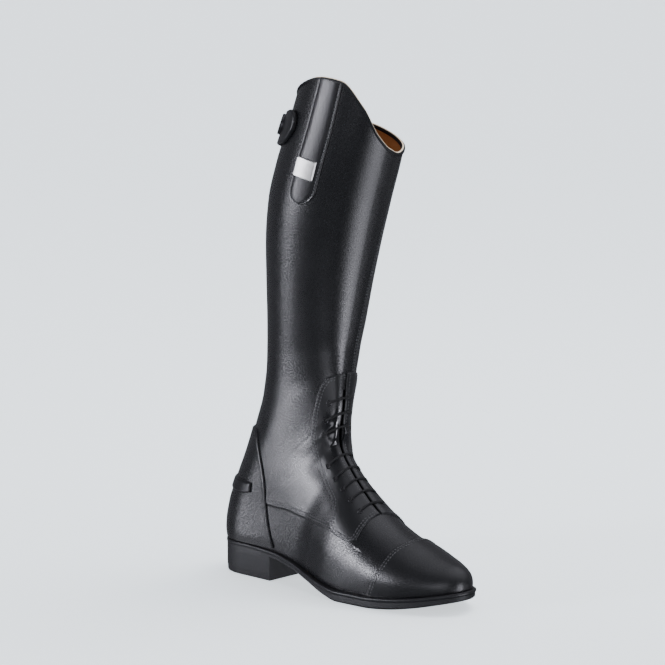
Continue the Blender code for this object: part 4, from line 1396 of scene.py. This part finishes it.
@dataclass
class HeelCounter:
    """Counter round the heel, and the spur rest on it."""

    last: Last
    top: float = 141.5
    thick: float = 1.3
    radius: float = 0.8
    roll: float = 0.15
    roll_in: float = 1.5
    roll_wide: float = 1.4
    foot: float = 32.6
    stitch_foot: float = 34.0
    lines: int = 60
    columns: int = 130
    spur_low: float = 1.5
    spur_thick: float = 2.2
    spur_heights: tuple[float, float] = (81.0, 90.5)
    spur_front: float = 51.0
    spur_thin: float = 1.7
    spur_thin_turns: tuple[float, float] = (0.68, 0.88)
    spur_radius: float = 0.7
    spur_wall: float = 1.0
    spur_lines: int = 18
    front: Table = Table(
        ("z", "front_x"),
        ((30.0, 80.0), (60.0, 72.5), (90.0, 68.5), (115.0, 62.5), (132.0, 56.0), (150.0, 45.0)),
    )

    def band(self, z: Array, front: Callable[[Array], Array], columns: int) -> tuple[Array, Array]:
        """Places of a band round the heel, from one front edge over the back to the other.

        Args:
            z: Heights of its lines, as a column.
            front: x of its front edge at each height.
            columns: Points along each line.

        Returns:
            Rows and columns of sections, and of turns.
        """
        u = np.sin(np.linspace(-math.pi / 2, math.pi / 2, columns))[None]
        back = self.last.back_x(z)
        x = back + (front(z) - back) * u * u
        return self.last.place(x, np.broadcast_to(z, x.shape), np.where(u < 0, -1.0, 1.0))

    def front_x(self, z: Array) -> Array:
        """x of the counter's front edge."""
        return self.front.smooth("front_x", z)

    def build(self, wardrobe: Wardrobe) -> None:
        """Make both pieces."""
        share = np.linspace(0, 1, self.lines)[:, None]
        r, t = self.band(self.foot + (self.top - self.foot) * share, self.front_x, self.columns)
        edges = [Edge.LAST_ROW, Edge.FIRST_COLUMN, Edge.LAST_COLUMN]
        inward = edge_distance(self.last.point(r, t), edges)
        more = self.roll * bell((inward - self.roll_in) / self.roll_wide)
        panel = Overlay(self.last, self.thick, radius=self.radius)
        counter = panel.sheet("counter_leather", r, t, edges, more)
        dress(counter, wardrobe.upper, ["counter"])
        share = crowded(self.spur_lines)[:, None]
        low, high = self.spur_heights
        r, t = self.band(low + (high - low) * share, lambda z: np.full_like(z, self.spur_front), self.columns)
        rest = Overlay(self.last, self.spur_thick, self.spur_low, self.spur_radius, self.spur_wall)
        near, far = self.spur_thin_turns
        thinner = -self.spur_thin * ease((np.abs(t) - near) / (far - near))
        spur = rest.sheet("spur_rest_leather", r, t, list(Edge), thinner)
        dress(spur, wardrobe.strap, ["spur_rest"])

    def edge(self) -> tuple[Array, Array]:
        """The counter's front edge on the outer side, from the sole up."""
        z = np.linspace(self.stitch_foot, self.top, 120)
        return self.last.place(self.front_x(z), z, -1.0)


@dataclass
class Facings:
    """Eyestays on either side of the throat, and the tongue behind them."""

    last: Last
    thick: float = 1.25
    near: float = 0.014
    first: float = 7.85
    top: float = 21.7
    lines: int = 260
    columns: int = 46
    tongue_lift: float = -2.7
    tongue_turn: float = 0.19
    tongue_rows: tuple[float, float] = (7.5, 21.4)
    tongue_thick: float = 1.8
    gape_row: float = 12.7
    gape_long: float = 0.8
    gapes: tuple[float, float] = (0.012, 0.05)
    inner_folds: float = 0.35
    puff: float = 0.5
    puff_in: float = 0.07
    puff_wide: float = 0.05
    gloss_turns: tuple[float, float, float, float] = (0.03, 0.06, 0.14, 0.2)
    gloss_rows: tuple[float, float, float, float] = (9.6, 10.4, 16.0, 19.0)
    ripples: Table = Table(
        ("row", "long", "high"), ((13.0, 0.25, 0.175), (12.4, 0.25, -0.175), (11.9, 0.2, 0.14))
    )
    far: Table = Table(
        ("row", "turn"),
        (
            (7.85, 0.5), (8.1, 0.56), (9.2, 0.61), (9.5, 0.5), (9.8, 0.43), (10.5, 0.41),
            (11.5, 0.375), (13.5, 0.298), (16.0, 0.255), (19.5, 0.25), (21.0, 0.23),
            (21.7, 0.184),
        ),
    )
    folds: Table = Table(
        ("row", "turn", "long", "wide", "ring", "deep"),
        ((13.3, 0.13, 1.0, 0.06, 0.5, 0.7), (11.9, 0.12, 0.3, 0.06, 0.8, 0.4)),
    )

    def throat(self, r: Array, side: Side) -> Array:
        """Turn of the throat edge, which gapes at the ankle on the inner side."""
        gape = self.gapes[side is Side.INNER]
        return self.near + gape * bell((r - self.gape_row) / self.gape_long)

    def crumple(self, r: Array, t: Array) -> Array:
        """Ring-shaped folds of the outer facing at the bend of the ankle."""
        turn = np.abs(t)
        lift = np.zeros_like(turn)
        for row, middle, long, wide, ring, deep in self.folds.rows:
            apart = np.hypot((r - row) / long, (turn - middle) / wide)
            lift = lift + deep * bell((apart - 1) / ring)
        return lift

    def gloss(self, r: Array, t: Array) -> Array:
        """Where the leather beside the throat is worn glossy."""
        return window(np.abs(t), *self.gloss_turns) * window(r, *self.gloss_rows)

    def build(self, wardrobe: Wardrobe) -> None:
        """Make both facings and the tongue."""
        rows = self.first + (self.top - self.first) * np.linspace(0, 1, self.lines)[:, None]
        rows = np.sort(np.concatenate([rows, self.first + np.array([[0.01], [0.02]])]), axis=0)
        for side in Side:
            near, far = self.throat(rows, side), self.far.smooth("turn", rows)
            turn = near + (far - near) * crowded(self.columns)[None]
            r = np.broadcast_to(rows, turn.shape)
            more = self.crumple(r, turn) * (1.0 if side is Side.OUTER else self.inner_folds)
            more = more + self.puff * bell((turn - near - self.puff_in) / self.puff_wide)
            name = side.name.lower()
            t = side.value * turn
            if side is Side.OUTER:
                r, t, more = (values[:, ::-1] for values in (r, t, more))
            overlay = Overlay(self.last, self.thick)
            panel = overlay.sheet(f"facing_{name}", r, t, list(Edge), more, self.gloss(r, t))
            dress(panel, wardrobe.facing, [f"eyestay_{name}"])
        low, high = self.tongue_rows
        r = np.linspace(low, high, 200)[:, None]
        t = np.linspace(-self.tongue_turn, self.tongue_turn, 60)[None]
        r, t = np.broadcast_arrays(r, t)
        ripple = sum(high * bell((r - row) / long) for row, long, high in self.ripples.rows)
        tongue = Bench.grid("tongue_leather", self.last.lifted(r, t, self.tongue_lift + ripple))
        Bench.thicken(tongue, self.tongue_thick)
        dress(tongue, wardrobe.tongue, ["tongue"])

    def border(self, side: Side) -> tuple[Array, Array]:
        """The facing's outer border, from the throat down, round the corner and up to the top."""
        front = np.linspace(self.near + 0.03, float(self.far.straight("turn", self.first)), 60)
        rows = np.linspace(self.first, self.top, 400)
        over = np.linspace(float(self.far.straight("turn", self.top)), self.near + 0.01, 30)
        r = np.concatenate([np.full(60, self.first), rows, np.full(30, self.top)])
        t = np.concatenate([front, self.far.smooth("turn", rows), over])
        return r, side.value * t


@dataclass
class Lacing:
    """Eyelets and the bars of elastic lace across the throat."""

    last: Last
    rim: float = 2.2
    ring: float = 0.55
    ring_lift: float = 1.6
    ring_up: tuple[float, float, float] = (0.3, 0.1, 1.0)
    ring_steps: tuple[int, int] = (20, 8)
    radius: float = 1.1
    cord_up: tuple[float, float, float] = (0.55, 0.0, 0.83)
    over: float = 1.25
    taut: float = 0.12
    dive: float = 2.4
    dive_share: float = 0.09
    points: int = 26
    sides: int = 14
    bars: Table = Table(
        ("row", "outer", "inner"),
        (
            (8.4, -0.232, 0.17), (9.0, -0.244, 0.18), (9.6, -0.252, 0.17),
            (10.25, -0.276, 0.17), (11.05, -0.28, 0.165), (13.75, -0.19, 0.135),
            (16.3, -0.16, 0.105), (18.95, -0.145, 0.095),
        ),
    )

    def frames(self, r: Array, t: Array) -> Array:
        """Axes of a ring that lies on the surface: two along it and one out of it."""
        out = self.last.normal(r, t)
        side = unit(np.cross(out, self.ring_up))
        return np.stack([side, np.cross(out, side), out], axis=1)

    def build(self, wardrobe: Wardrobe) -> None:
        """Make the rings and the lace."""
        row = np.concatenate([self.bars.column("row")] * 2)
        turn = np.concatenate([self.bars.column("outer"), self.bars.column("inner")])
        Bench.start()
        around, through = self.ring_steps
        bpy.ops.mesh.primitive_torus_add(
            major_segments=around,
            minor_segments=through,
            major_radius=self.rim * MM,
            minor_radius=self.ring * MM,
        )
        ring = Bench.shape_of(bpy.context.object)
        centres = self.last.lifted(row, turn, self.ring_lift)
        rings = Bench.scattered("eyelet_rings", ring, centres, self.frames(row, turn))
        count = len(self.bars.rows)
        nodes = [f"eyelet_{side}_{n}" for side in ("outer", "inner") for n in range(1, count + 1)]
        dress(rings, wardrobe.eyelet, nodes)
        pieces = []
        for number, values in enumerate(self.bars.rows, start=1):
            pieces.append(Bench.loft(f"lace_run_{number}", self.tube(self.run(*values)), fill=True))
        Bench.start()
        for piece in pieces:
            piece.select_set(True)
        bpy.context.view_layer.objects.active = pieces[0]
        bpy.ops.object.join()
        lace = bpy.context.object
        lace.name = lace.data.name = "lace_cord"
        dress(lace, wardrobe.lace, [f"lace_bar_{n}" for n in range(1, count + 1)])

    def run(self, row: float, outer: float, inner: float) -> Array:
        """Middle line of one bar, out of one eyelet, over the throat and into the other."""
        share = np.linspace(0, 1, self.points)
        t = outer + (inner - outer) * share
        dive = 1 - ease(np.minimum(share, 1 - share) / self.dive_share)
        chord = self.last.lifted(row, t, self.ring_lift + self.over)
        straight = chord[0] + (chord[-1] - chord[0]) * share[:, None]
        bowed = chord + (straight - chord) * self.taut
        drop = self.last.normal(row, t) * (dive * self.dive)[:, None]
        return bowed - drop

    def tube(self, run: Array) -> Array:
        """Rings of points round a middle line."""
        way = unit(np.gradient(run, axis=0))
        side = unit(np.cross(way, self.cord_up))
        other = np.cross(way, side)
        angle = np.linspace(0, 2 * math.pi, self.sides, endpoint=False)
        ring = np.cos(angle)[None, :, None] * side[:, None] + np.sin(angle)[None, :, None] * other[:, None]
        return run[:, None] + self.radius * ring


@dataclass
class SideStrap:
    """Strap sewn down the outer side of the leg, and the plain plate on it."""

    last: Last
    row: float = 27.05
    turn: float = -0.44
    half: float = 0.078
    round_share: float = 0.13
    below: float = 0.02
    thick: float = 1.05
    lines: int = 110
    columns: int = 34
    radius: float = 0.7
    tip_end: float = 1.57
    straight_share: float = 0.14
    puff: float = 0.35
    puff_in: tuple[float, float] = (2.4, 7.4)
    groove: float = 0.3
    groove_in: float = 2.2
    groove_wide: float = 0.7
    plate_rows: tuple[float, float] = (27.74, 28.28)
    plate_turns: tuple[float, float] = (-0.508, -0.392)
    plate_tilt: float = 1.2
    plate_low: float = 1.55
    plate_thick: float = 1.3
    plate_radius: float = 0.6
    plate_wall: float = 1.0

    def shares(self, start: float, tip: int, straight: int) -> Array:
        """Shares of the way up the strap, close together round its tip.

        Args:
            start: Angle from the very end of the tip at which they start.
            tip: How many lie round the tip.
            straight: How many lie along the straight sides.

        Returns:
            Rising shares.
        """
        angle = np.linspace(start, self.tip_end, tip)
        round_tip = self.round_share * (1 - np.cos(angle))
        return np.concatenate([round_tip, np.linspace(self.straight_share, 1.0, straight)])

    def outline(self, share: Array, side: Array | float) -> tuple[Array, Array]:
        """Places of the strap by their share of the way up and across it."""
        width = self.half * np.sqrt(1 - (1 - np.minimum(share / self.round_share, 1.0)) ** 2)
        t = self.turn + width * side
        top = self.last.collar_row(t) - self.below
        return self.row + (top - self.row) * share, t

    def build(self, wardrobe: Wardrobe) -> None:
        """Make the strap and its plate."""
        share = self.shares(0.06, 40, self.lines)
        side = np.sin(np.linspace(-math.pi / 2, math.pi / 2, self.columns))
        r, t = self.outline(share[:, None], side[None])
        edges = [Edge.FIRST_COLUMN, Edge.LAST_COLUMN]
        inward = edge_distance(self.last.point(r, t), edges)
        low, high = self.puff_in
        puff = self.puff * ease((inward - low) / (high - low))
        more = puff - self.groove * bell((inward - self.groove_in) / self.groove_wide)
        panel = Overlay(self.last, self.thick, radius=self.radius)
        strap = panel.sheet("side_strap", r, t, edges, more)
        dress(strap, wardrobe.strap, ["side_tab"])
        rows = np.linspace(*self.plate_rows, 24)[:, None]
        turns = np.linspace(*self.plate_turns, 28)[None]
        r, t = np.broadcast_arrays(rows - self.plate_tilt * (turns - turns.mean()), turns)
        rest = Overlay(self.last, self.plate_thick, self.plate_low, self.plate_radius, self.plate_wall)
        plate = rest.sheet("strap_plate", r, t, list(Edge))
        dress(plate, wardrobe.steel, ["badge_plate"], 40.0)

    def border(self) -> tuple[Array, Array]:
        """The strap's edge from the collar down, round its end and up again."""
        share = self.shares(0.03, 60, 120)
        (left_r, left_t), (right_r, right_t) = self.outline(share, -1.0), self.outline(share, 1.0)
        return np.concatenate([left_r[::-1], right_r]), np.concatenate([left_t[::-1], right_t])


@dataclass
class Collar:
    """Binding folded over the collar and the pale edge of the lining inside it."""

    last: Last
    deep: float = 2.4
    columns: int = 260
    back_slit: float = 0.03
    step_down: float = 0.3
    outer_edge: tuple[tuple[float, float], ...] = ((0.75, 0.0), (1.0, 0.7))
    roll: tuple[float, float, float, float] = (-0.95, -0.1, 1.95, 1.0)
    inner_edge: tuple[tuple[float, float], ...] = (
        (-2.9, 0.0), (-2.3, 0.0), (-2.3, 2.5), (0.3, 2.5), (0.3, 0.0),
    )
    bead: tuple[float, float, float, float] = (-1.3, 0.95, 0.75, 0.525)

    def sweep(self, name: str, profile: Sequence[tuple[float, float]]) -> Item:
        """Draw a closed profile of lift and height along the collar."""
        t = np.linspace(-1 + self.back_slit, 1 - self.back_slit, self.columns)
        r = self.last.collar_row(t)
        up = unit(self.last.point(r, t) - self.last.point(r - self.step_down, t))
        rings = [self.last.lifted(r, t, lift) + height * up for lift, height in profile]
        return Bench.loft(name, np.stack(rings, axis=1), fill=True)

    def build(self, wardrobe: Wardrobe) -> None:
        """Make the binding and the pale edge."""
        outer = [(lift, height - self.deep) for lift, height in self.outer_edge]
        inner = [(lift, height - self.deep) for lift, height in self.inner_edge]
        profile = [*outer, *self.arc(self.roll, np.linspace(0, math.pi, 9)), *inner]
        dress(self.sweep("collar_binding", profile), wardrobe.piping, ["binding"])
        bead = self.arc(self.bead, np.linspace(0, 2 * math.pi, 10, endpoint=False))
        dress(self.sweep("collar_edge_line", bead), wardrobe.pale_edge)

    @staticmethod
    def arc(oval: tuple[float, float, float, float], angles: Array) -> list[tuple[float, float]]:
        """Lifts and heights along an oval given by its middle and half its width and height."""
        lift, height, wide, high = oval
        return [(lift + wide * math.cos(a), height + high * math.sin(a)) for a in angles]


@dataclass
class BackZip:
    """Zip up the back, its slider, the tab that closes over its head and the press stud."""

    last: Last
    foot: float = 172.0
    head: float = 438.0
    lift: float = -3.4
    tape_turn: float = 0.075
    tape_thick: float = 0.6
    tooth_pitch: float = 2.6
    tooth_lift: float = -0.9
    tooth_apart: float = 1.2
    tooth_bevel: float = 0.3
    tooth: tuple[float, float, float] = (2.7, 1.1, 1.3)
    slider: tuple[float, float, float] = (8.0, 11.0, 2.2)
    slider_bevel: float = 0.9
    slider_lift: float = 1.75
    slider_height: float = 424.0
    guard_ends: tuple[float, float] = (0.61, 1.2)
    guard_heights: tuple[float, float] = (433.0, 411.0)
    guard_half: float = 15.0
    guard_round: float = 0.16
    guard_tip: float = 0.25
    guard_low: float = 0.35
    guard_bump: float = 2.6
    guard_swell: float = 0.2
    layer: float = 1.5
    layer_gap: float = 0.08
    layer_wall: float = 1.2
    layer_edge: float = 0.45
    layer_radius: float = 0.6
    layer_rim: float = 0.8
    stud_turn: float = -0.79
    stud_height: float = 429.0
    stud_radius: float = 10.0
    stud_high: float = 3.2
    stud_gap: float = 0.25
    stud_bevel: float = 0.35
    stud_steps: tuple[tuple[float, float], ...] = ((1.2, 0.5), (1.5, -0.7), (3.5, 0.6))

    def guard_places(self, lines: int, columns: int) -> tuple[Array, Array, Array]:
        """Sections, turns and lifts of the guard tab."""
        tip = self.guard_round * crowded(24)[:-1]
        u = np.concatenate([tip, np.linspace(self.guard_round, 1.0, columns)])[:, None]
        around = self.guard_ends[0] + (self.guard_ends[1] - self.guard_ends[0]) * u
        t = np.where(around <= 1, -around, 2 - around)
        middle = self.guard_heights[0] + (self.guard_heights[1] - self.guard_heights[0]) * u
        half = self.guard_half * np.sqrt(1 - (1 - np.minimum(u / self.guard_round, 1.0)) ** 2)
        half = np.maximum(half, self.guard_half * self.guard_tip)
        across = np.sin(np.linspace(-math.pi / 2, math.pi / 2, lines))[None]
        z = middle + half * across
        t = np.broadcast_to(t, z.shape)
        lift = self.guard_low + self.guard_bump * ease(1 - np.abs(around - 1) / self.guard_swell)
        return self.last.leg_row(t, z), t, np.broadcast_to(lift, z.shape)

    def build(self, wardrobe: Wardrobe) -> None:
        """Make every piece of the back closure."""
        self.build_zip(wardrobe)
        self.build_guard(wardrobe)
        self.build_stud(wardrobe)

    def build_zip(self, wardrobe: Wardrobe) -> None:
        """Tape, teeth and slider."""
        z = np.linspace(self.foot, self.head, 140)[:, None]
        side = np.linspace(-self.tape_turn, self.tape_turn, 17)[None]
        t = np.where(side <= 0, 1 + side, -1 + side)
        r = self.last.leg_row(np.ones_like(z), z)
        r, t = np.broadcast_arrays(r, t)
        tape = Bench.grid("zip_tape", self.last.lifted(r, t, self.lift)[:, ::-1])
        Bench.weld(tape)
        Bench.thicken(tape, self.tape_thick)
        dress(tape, wardrobe.tape, ["zip"])
        Bench.start()
        bpy.ops.mesh.primitive_cube_add(size=1.0)
        cube = bpy.context.object
        cube.scale = [size * MM for size in self.tooth]
        bpy.ops.object.transform_apply(scale=True)
        Bench.modify(cube, "BEVEL", width=self.tooth_bevel * MM, segments=2)
        tooth = Bench.shape_of(cube)
        places = np.arange(self.foot + 2, self.head - 2, self.tooth_pitch)
        rows = self.last.leg_row(np.ones_like(places), places)
        spine = self.last.lifted(rows, np.ones_like(rows), self.tooth_lift)
        up = unit(np.gradient(spine, axis=0))
        out = unit(self.last.normal(rows, np.ones_like(rows)) * IN_PROFILE)
        side = np.cross(up, out)
        frames = np.stack([side, up, out], axis=1)
        apart = side * self.tooth_apart
        centres = np.concatenate([spine + apart, spine - apart + up * self.tooth_pitch / 2])
        teeth = Bench.scattered("zip_teeth", tooth, centres, np.concatenate([frames, frames]))
        dress(teeth, wardrobe.teeth, (), 40.0)
        Bench.start()
        bpy.ops.mesh.primitive_cube_add(size=1.0)
        slider = bpy.context.object
        slider.name = slider.data.name = "zip_slider_body"
        slider.scale = self.slider
        bpy.ops.object.transform_apply(scale=True)
        with Bench.editing(slider):
            bpy.ops.mesh.bevel(offset=self.slider_bevel, segments=4, affect="EDGES")
        row = self.last.leg_row(np.ones(1), self.slider_height)
        centre = self.last.lifted(row, np.ones(1), self.slider_lift)[0]
        k = int(np.argmin(np.abs(places - self.slider_height)))
        Bench.seat(slider, centre, frames[k])
        dress(slider, wardrobe.steel, ["zip_slider"], 40.0)

    def build_guard(self, wardrobe: Wardrobe) -> None:
        """Two layers of leather sewn together."""
        r, t, lift = self.guard_places(26, 90)
        for number, name in enumerate(("guard_tab_lining", "guard_tab_face")):
            points = self.last.point(r, t)
            inward = edge_distance(points, [Edge.FIRST_ROW, Edge.FIRST_COLUMN, Edge.LAST_COLUMN])
            up = self.layer_edge + (1 - self.layer_edge) * quarter_round(inward / self.layer_radius)
            height = lift + number * (self.layer + self.layer_gap) + self.layer * up
            item = Bench.grid(name, self.last.lifted(r, t, height)[::-1])
            Bench.mark(item, "rim", bell(inward / self.layer_rim)[::-1])
            Bench.thicken(item, self.layer_wall)
            Bench.weld(item, 0.002, turn_out=True)
            replaced = ["guard_tab"] if number else []
            dress(item, wardrobe.strap if number else wardrobe.piping, replaced)

    def build_stud(self, wardrobe: Wardrobe) -> None:
        """Round cap with a raised rim and a dished middle."""
        Bench.start()
        bpy.ops.mesh.primitive_cylinder_add(vertices=64, radius=self.stud_radius, depth=self.stud_high)
        stud = bpy.context.object
        stud.name = stud.data.name = "press_stud_cap"
        Bench.choose_faces(stud, [face.normal.z > 0.9 for face in stud.data.polygons])
        with Bench.editing(stud, ""):
            for inset, rise in self.stud_steps:
                bpy.ops.mesh.inset(thickness=inset)
                bpy.ops.transform.translate(value=(0.0, 0.0, rise))
        crisp = {"limit_method": "ANGLE", "angle_limit": math.radians(20)}
        Bench.modify(stud, "BEVEL", width=self.stud_bevel, segments=3, **crisp)
        turn = np.full(1, self.stud_turn)
        row = self.last.leg_row(turn, self.stud_height)
        swell = float(ease(np.array(1 - (1 + self.stud_turn) / self.guard_swell)))
        lift = self.guard_low + self.guard_bump * swell + 2 * self.layer + self.stud_gap + self.stud_high / 2
        out = self.last.normal(row, turn)[0]
        side = unit(np.cross(out, (0.0, 0.0, 1.0)))
        centre = self.last.lifted(row, turn, lift)[0]
        Bench.seat(stud, centre, np.stack([side, np.cross(out, side), out]))
        dress(stud, wardrobe.stud, ["press_stud"], 40.0)


@dataclass(frozen=True)
class Row:
    """One row of stitches along a line on the boot."""

    r: Array
    t: Array
    lift: float
    inset: float = 0.0


@dataclass
class Stitching:
    """Rows of short stitches sunk in the leather."""

    last: Last
    pitch: float = 3.1
    long: float = 1.15
    wide: float = 0.62
    high: float = 0.5
    clear_share: float = 0.93

    def shape(self) -> tuple[Array, Array]:
        """One stitch: a small drop of thread."""
        Bench.start()
        bpy.ops.mesh.primitive_uv_sphere_add(segments=8, ring_count=5, radius=MM)
        points, faces = Bench.shape_of(bpy.context.object)
        return points[:, [2, 0, 1]] * (self.long, self.wide, self.high), faces

    def along(self, row: Row) -> tuple[Array, Array]:
        """Centres and axes of a row's stitches."""
        r, t = self.last.shifted(row.r, row.t, row.inset) if row.inset else (row.r, row.t)
        points = self.last.point(r, t)
        if row.inset:
            border = self.last.point(row.r, row.t)
            apart = np.linalg.norm(points[:, None] - border[None], axis=-1).min(axis=1)
            keep = apart > abs(row.inset) * self.clear_share
            r, t, points = r[keep], t[keep], points[keep]
        length = run_length(points, 0)
        at = np.arange(self.pitch / 2, length[-1], self.pitch)
        r, t = np.interp(at, length, r), np.interp(at, length, t)
        centres = self.last.lifted(r, t, row.lift)
        way = unit(np.gradient(centres, axis=0))
        side = unit(np.cross(self.last.normal(r, t), way))
        return centres, np.stack([way, side, np.cross(way, side)], axis=1)

    def sew(self, name: str, rows: Sequence[Row], wardrobe: Wardrobe) -> None:
        """Make one joined mesh of all the stitches in some rows."""
        found = [self.along(row) for row in rows]
        centres, frames = (np.concatenate(part) for part in zip(*found))
        dress(Bench.scattered(name, self.shape(), centres, frames), wardrobe.thread, angle=80.0)


@dataclass(frozen=True)
class Lamp:
    """A soft box that lights the boot but doesn't show in it, measured in metres and degrees."""

    name: str
    azimuth: float
    away: float
    high: float
    wide: float
    tall: float
    watts: float
    target: tuple[float, float, float] = (0.0, 0.0, 0.2)

    def hang(self) -> None:
        """Make the lamp, at an azimuth that is 0 on the boot's outer side and 90 at its toe."""
        light = bpy.data.lights.new(self.name, "AREA")
        light.shape, light.size, light.size_y, light.energy = "RECTANGLE", self.wide, self.tall, self.watts
        lamp = bpy.data.objects.new(self.name, light)
        turn = math.radians(self.azimuth)
        lamp.location = (self.away * math.sin(turn), -self.away * math.cos(turn), self.high)
        way = Vector(self.target) - lamp.location
        lamp.rotation_euler = way.to_track_quat("-Z", "Y").to_euler()
        lamp.visible_glossy = False
        bpy.context.collection.objects.link(lamp)


@dataclass
class Studio:
    """Floor, lights and camera."""

    azimuth: float = 44.0
    pitch: float = 9.963
    eye: tuple[float, float, float] = (2201.74, -2150.52, 764.69)
    lens: float = 177.67
    sensor: float = 36.0
    paper: Color = (0.6, 0.645, 0.675)
    paper_swing: float = 1.02
    paper_cloud: float = 600.0
    paper_roughness: float = 0.9
    glow: float = 1.62
    half_wide: float = 9000.0
    near: float = -7000.0
    wall: float = 5200.0
    wall_high: float = 7000.0
    bend: float = 2200.0
    sky: Color = (0.91, 0.91, 1.0)
    sky_strength: float = 0.21
    patches: Table = Table(
        ("azimuth", "height", "full", "gone", "power"),
        (
            (-24.0, 7.0, 2.0, 8.0, 100.0),
            (-39.0, -6.0, 2.0, 6.5, 42.0),
            (-50.0, -28.0, 4.0, 14.0, 2.2),
            (108.0, -29.0, 8.0, 24.0, 6.5),
            (100.0, -9.0, 3.0, 10.0, 28.0),
            (42.0, 4.0, 7.0, 15.0, 4.5),
            (130.0, 58.0, 6.0, 55.0, 1.5),
        ),
    )
    lamps: tuple[Lamp, ...] = (
        Lamp("top", 160.0, 0.9, 2.0, 1.0, 1.0, 26.0),
        Lamp("wall", 224.0, 0.6, 2.6, 2.4, 1.2, 30.0, (-0.9, 1.0, 0.6)),
    )

    def build(self) -> None:
        """Make the stage."""
        self.roll_paper()
        sky = Sky("studio_sky")
        sky.feed(sky.shader.inputs["Color"], (*self.sky, 1.0))
        strength = sum(sky.patch(*place) * power for *place, power in self.patches.rows)
        sky.feed(sky.shader.inputs["Strength"], strength + self.sky_strength)
        bpy.context.scene.world = sky.world
        for lamp in self.lamps:
            lamp.hang()
        self.aim()

    def roll_paper(self) -> None:
        """Make the pale floor, which bends up into a wall far behind the boot."""
        turn = math.radians(self.azimuth)
        right = np.array((math.cos(turn), math.sin(turn), 0.0))
        ahead = np.array((-math.sin(turn), math.cos(turn), 0.0))
        across = np.linspace(-self.half_wide, self.half_wide, 9)[None, :, None]
        angle = np.linspace(0, math.pi / 2, 25)
        flat = np.linspace(self.near, self.wall - self.bend, 12)[:-1]
        away = np.concatenate([flat, self.wall - self.bend * (1 - np.sin(angle)), [self.wall]])
        high = np.concatenate([flat * 0, self.bend * (1 - np.cos(angle)), [self.wall_high]])
        points = across * right + away[:, None, None] * ahead + high[:, None, None] * (0, 0, 1)
        sweep = Bench.grid("studio_sweep", points + (MIDDLE_X, MIDDLE_Y, 0.0))
        Bench.smooth(sweep, 60.0)
        dresser = Dresser("studio_paper")
        cloud = dresser.noise(self.paper_cloud)
        pale = tuple(min(c * self.paper_swing, 1.0) for c in self.paper)
        dresser.set("Base Color", dresser.blend(cloud, self.paper, pale))
        dresser.set("Roughness", self.paper_roughness)
        dresser.set("Emission Color", self.paper)
        dresser.set("Emission Strength", self.glow)
        sweep.data.materials.append(dresser.material)
        sweep.visible_glossy = False

    def aim(self) -> None:
        """Make the camera at the photograph's angle."""
        turn, down = math.radians(self.azimuth), math.radians(self.pitch)
        right = Vector((math.cos(turn), math.sin(turn), 0.0))
        back = Vector((math.sin(turn), -math.cos(turn), 0.0))
        ahead = -back * math.cos(down) - Vector((0.0, 0.0, 1.0)) * math.sin(down)
        up = right.cross(ahead)
        data = bpy.data.cameras.new("camera")
        data.lens, data.sensor_width = self.lens, self.sensor
        camera = bpy.data.objects.new("camera", data)
        frame = Matrix((right, up, -ahead)).transposed().to_4x4()
        frame.translation = Vector(to_frame(np.array(self.eye)))
        camera.matrix_world = frame
        bpy.context.collection.objects.link(camera)
        bpy.context.scene.camera = camera


def sew_boot(
    last: Last,
    upper: Upper,
    cap: ToeCap,
    counter: HeelCounter,
    facings: Facings,
    strap: SideStrap,
    wardrobe: Wardrobe,
) -> None:
    """Sew every seam of the boot.

    Args:
        last: Surface of the boot.
        upper: The upper, for its lapped seams.
        cap: The toe cap, for its seam.
        counter: The counter, for its edge.
        facings: The facings, for their borders.
        strap: The side strap, for its border.
        wardrobe: The finishes.
    """
    stitching = Stitching(last)
    r, t = cap.edge()
    rows = [Row(r, t, lift=1.75, inset=inset) for inset in (-1.8, -4.2)]
    stitching.sew("stitches_toe_cap", rows, wardrobe)
    rows = []
    for side in Side:
        way = side.value
        r, t = facings.border(side)
        rows += [Row(r, t, lift=1.4, inset=way * inset) for inset in (1.8, 4.2)]
        r = np.linspace(8.0, 21.4, 300)
        rows.append(Row(r, way * facings.throat(r, side), lift=1.5, inset=-way * 3.6))
    stitching.sew("stitches_facings", rows, wardrobe)
    rows = []
    for side in Side:
        r = np.linspace(13.4, 8.2, 200)
        t = side.value * upper.seam.smooth("turn", r)
        rows += [Row(r, t, lift, -side.value * inset) for lift, inset in ((0.75, 1.7), (0.72, 4.3))]
    stitching.sew("stitches_vamp", rows, wardrobe)
    r, t = counter.edge()
    rows = [Row(r, -side.value * t, lift=1.55, inset=-side.value * 2.6) for side in Side]
    stitching.sew("stitches_counter", rows, wardrobe)
    stitching.sew("stitches_strap", [Row(*strap.border(), lift=1.0, inset=2.1)], wardrobe)
    z = np.linspace(176.0, 440.0, 400)
    rows = []
    for side in Side:
        t = np.full_like(z, side.value * (1 - upper.back_slit))
        rows.append(Row(last.leg_row(t, z), t, lift=0.12, inset=side.value * 4.0))
    r = np.linspace(20.9, 28.3, 300)
    front = upper.front_seam.smooth("turn", r)
    rows += [Row(r, front, lift, inset) for lift, inset in ((0.55, 1.7), (0.5, 4.2))]
    stitching.sew("stitches_leg", rows, wardrobe)


def main() -> None:
    """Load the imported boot, dress it piece by piece and set up the studio."""
    logging.basicConfig(level=logging.INFO, format="%(message)s")
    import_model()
    last = Last()
    wardrobe = Wardrobe()
    upper, cap, counter = Upper(last), ToeCap(last), HeelCounter(last)
    facings, strap = Facings(last), SideStrap(last)
    Studio().build()
    Sole(last.sole).build(wardrobe)
    for part in (upper, cap, counter, facings, Lacing(last), strap, Collar(last), BackZip(last)):
        part.build(wardrobe)
    sew_boot(last, upper, cap, counter, facings, strap, wardrobe)


if __name__ == "__main__":
    main()
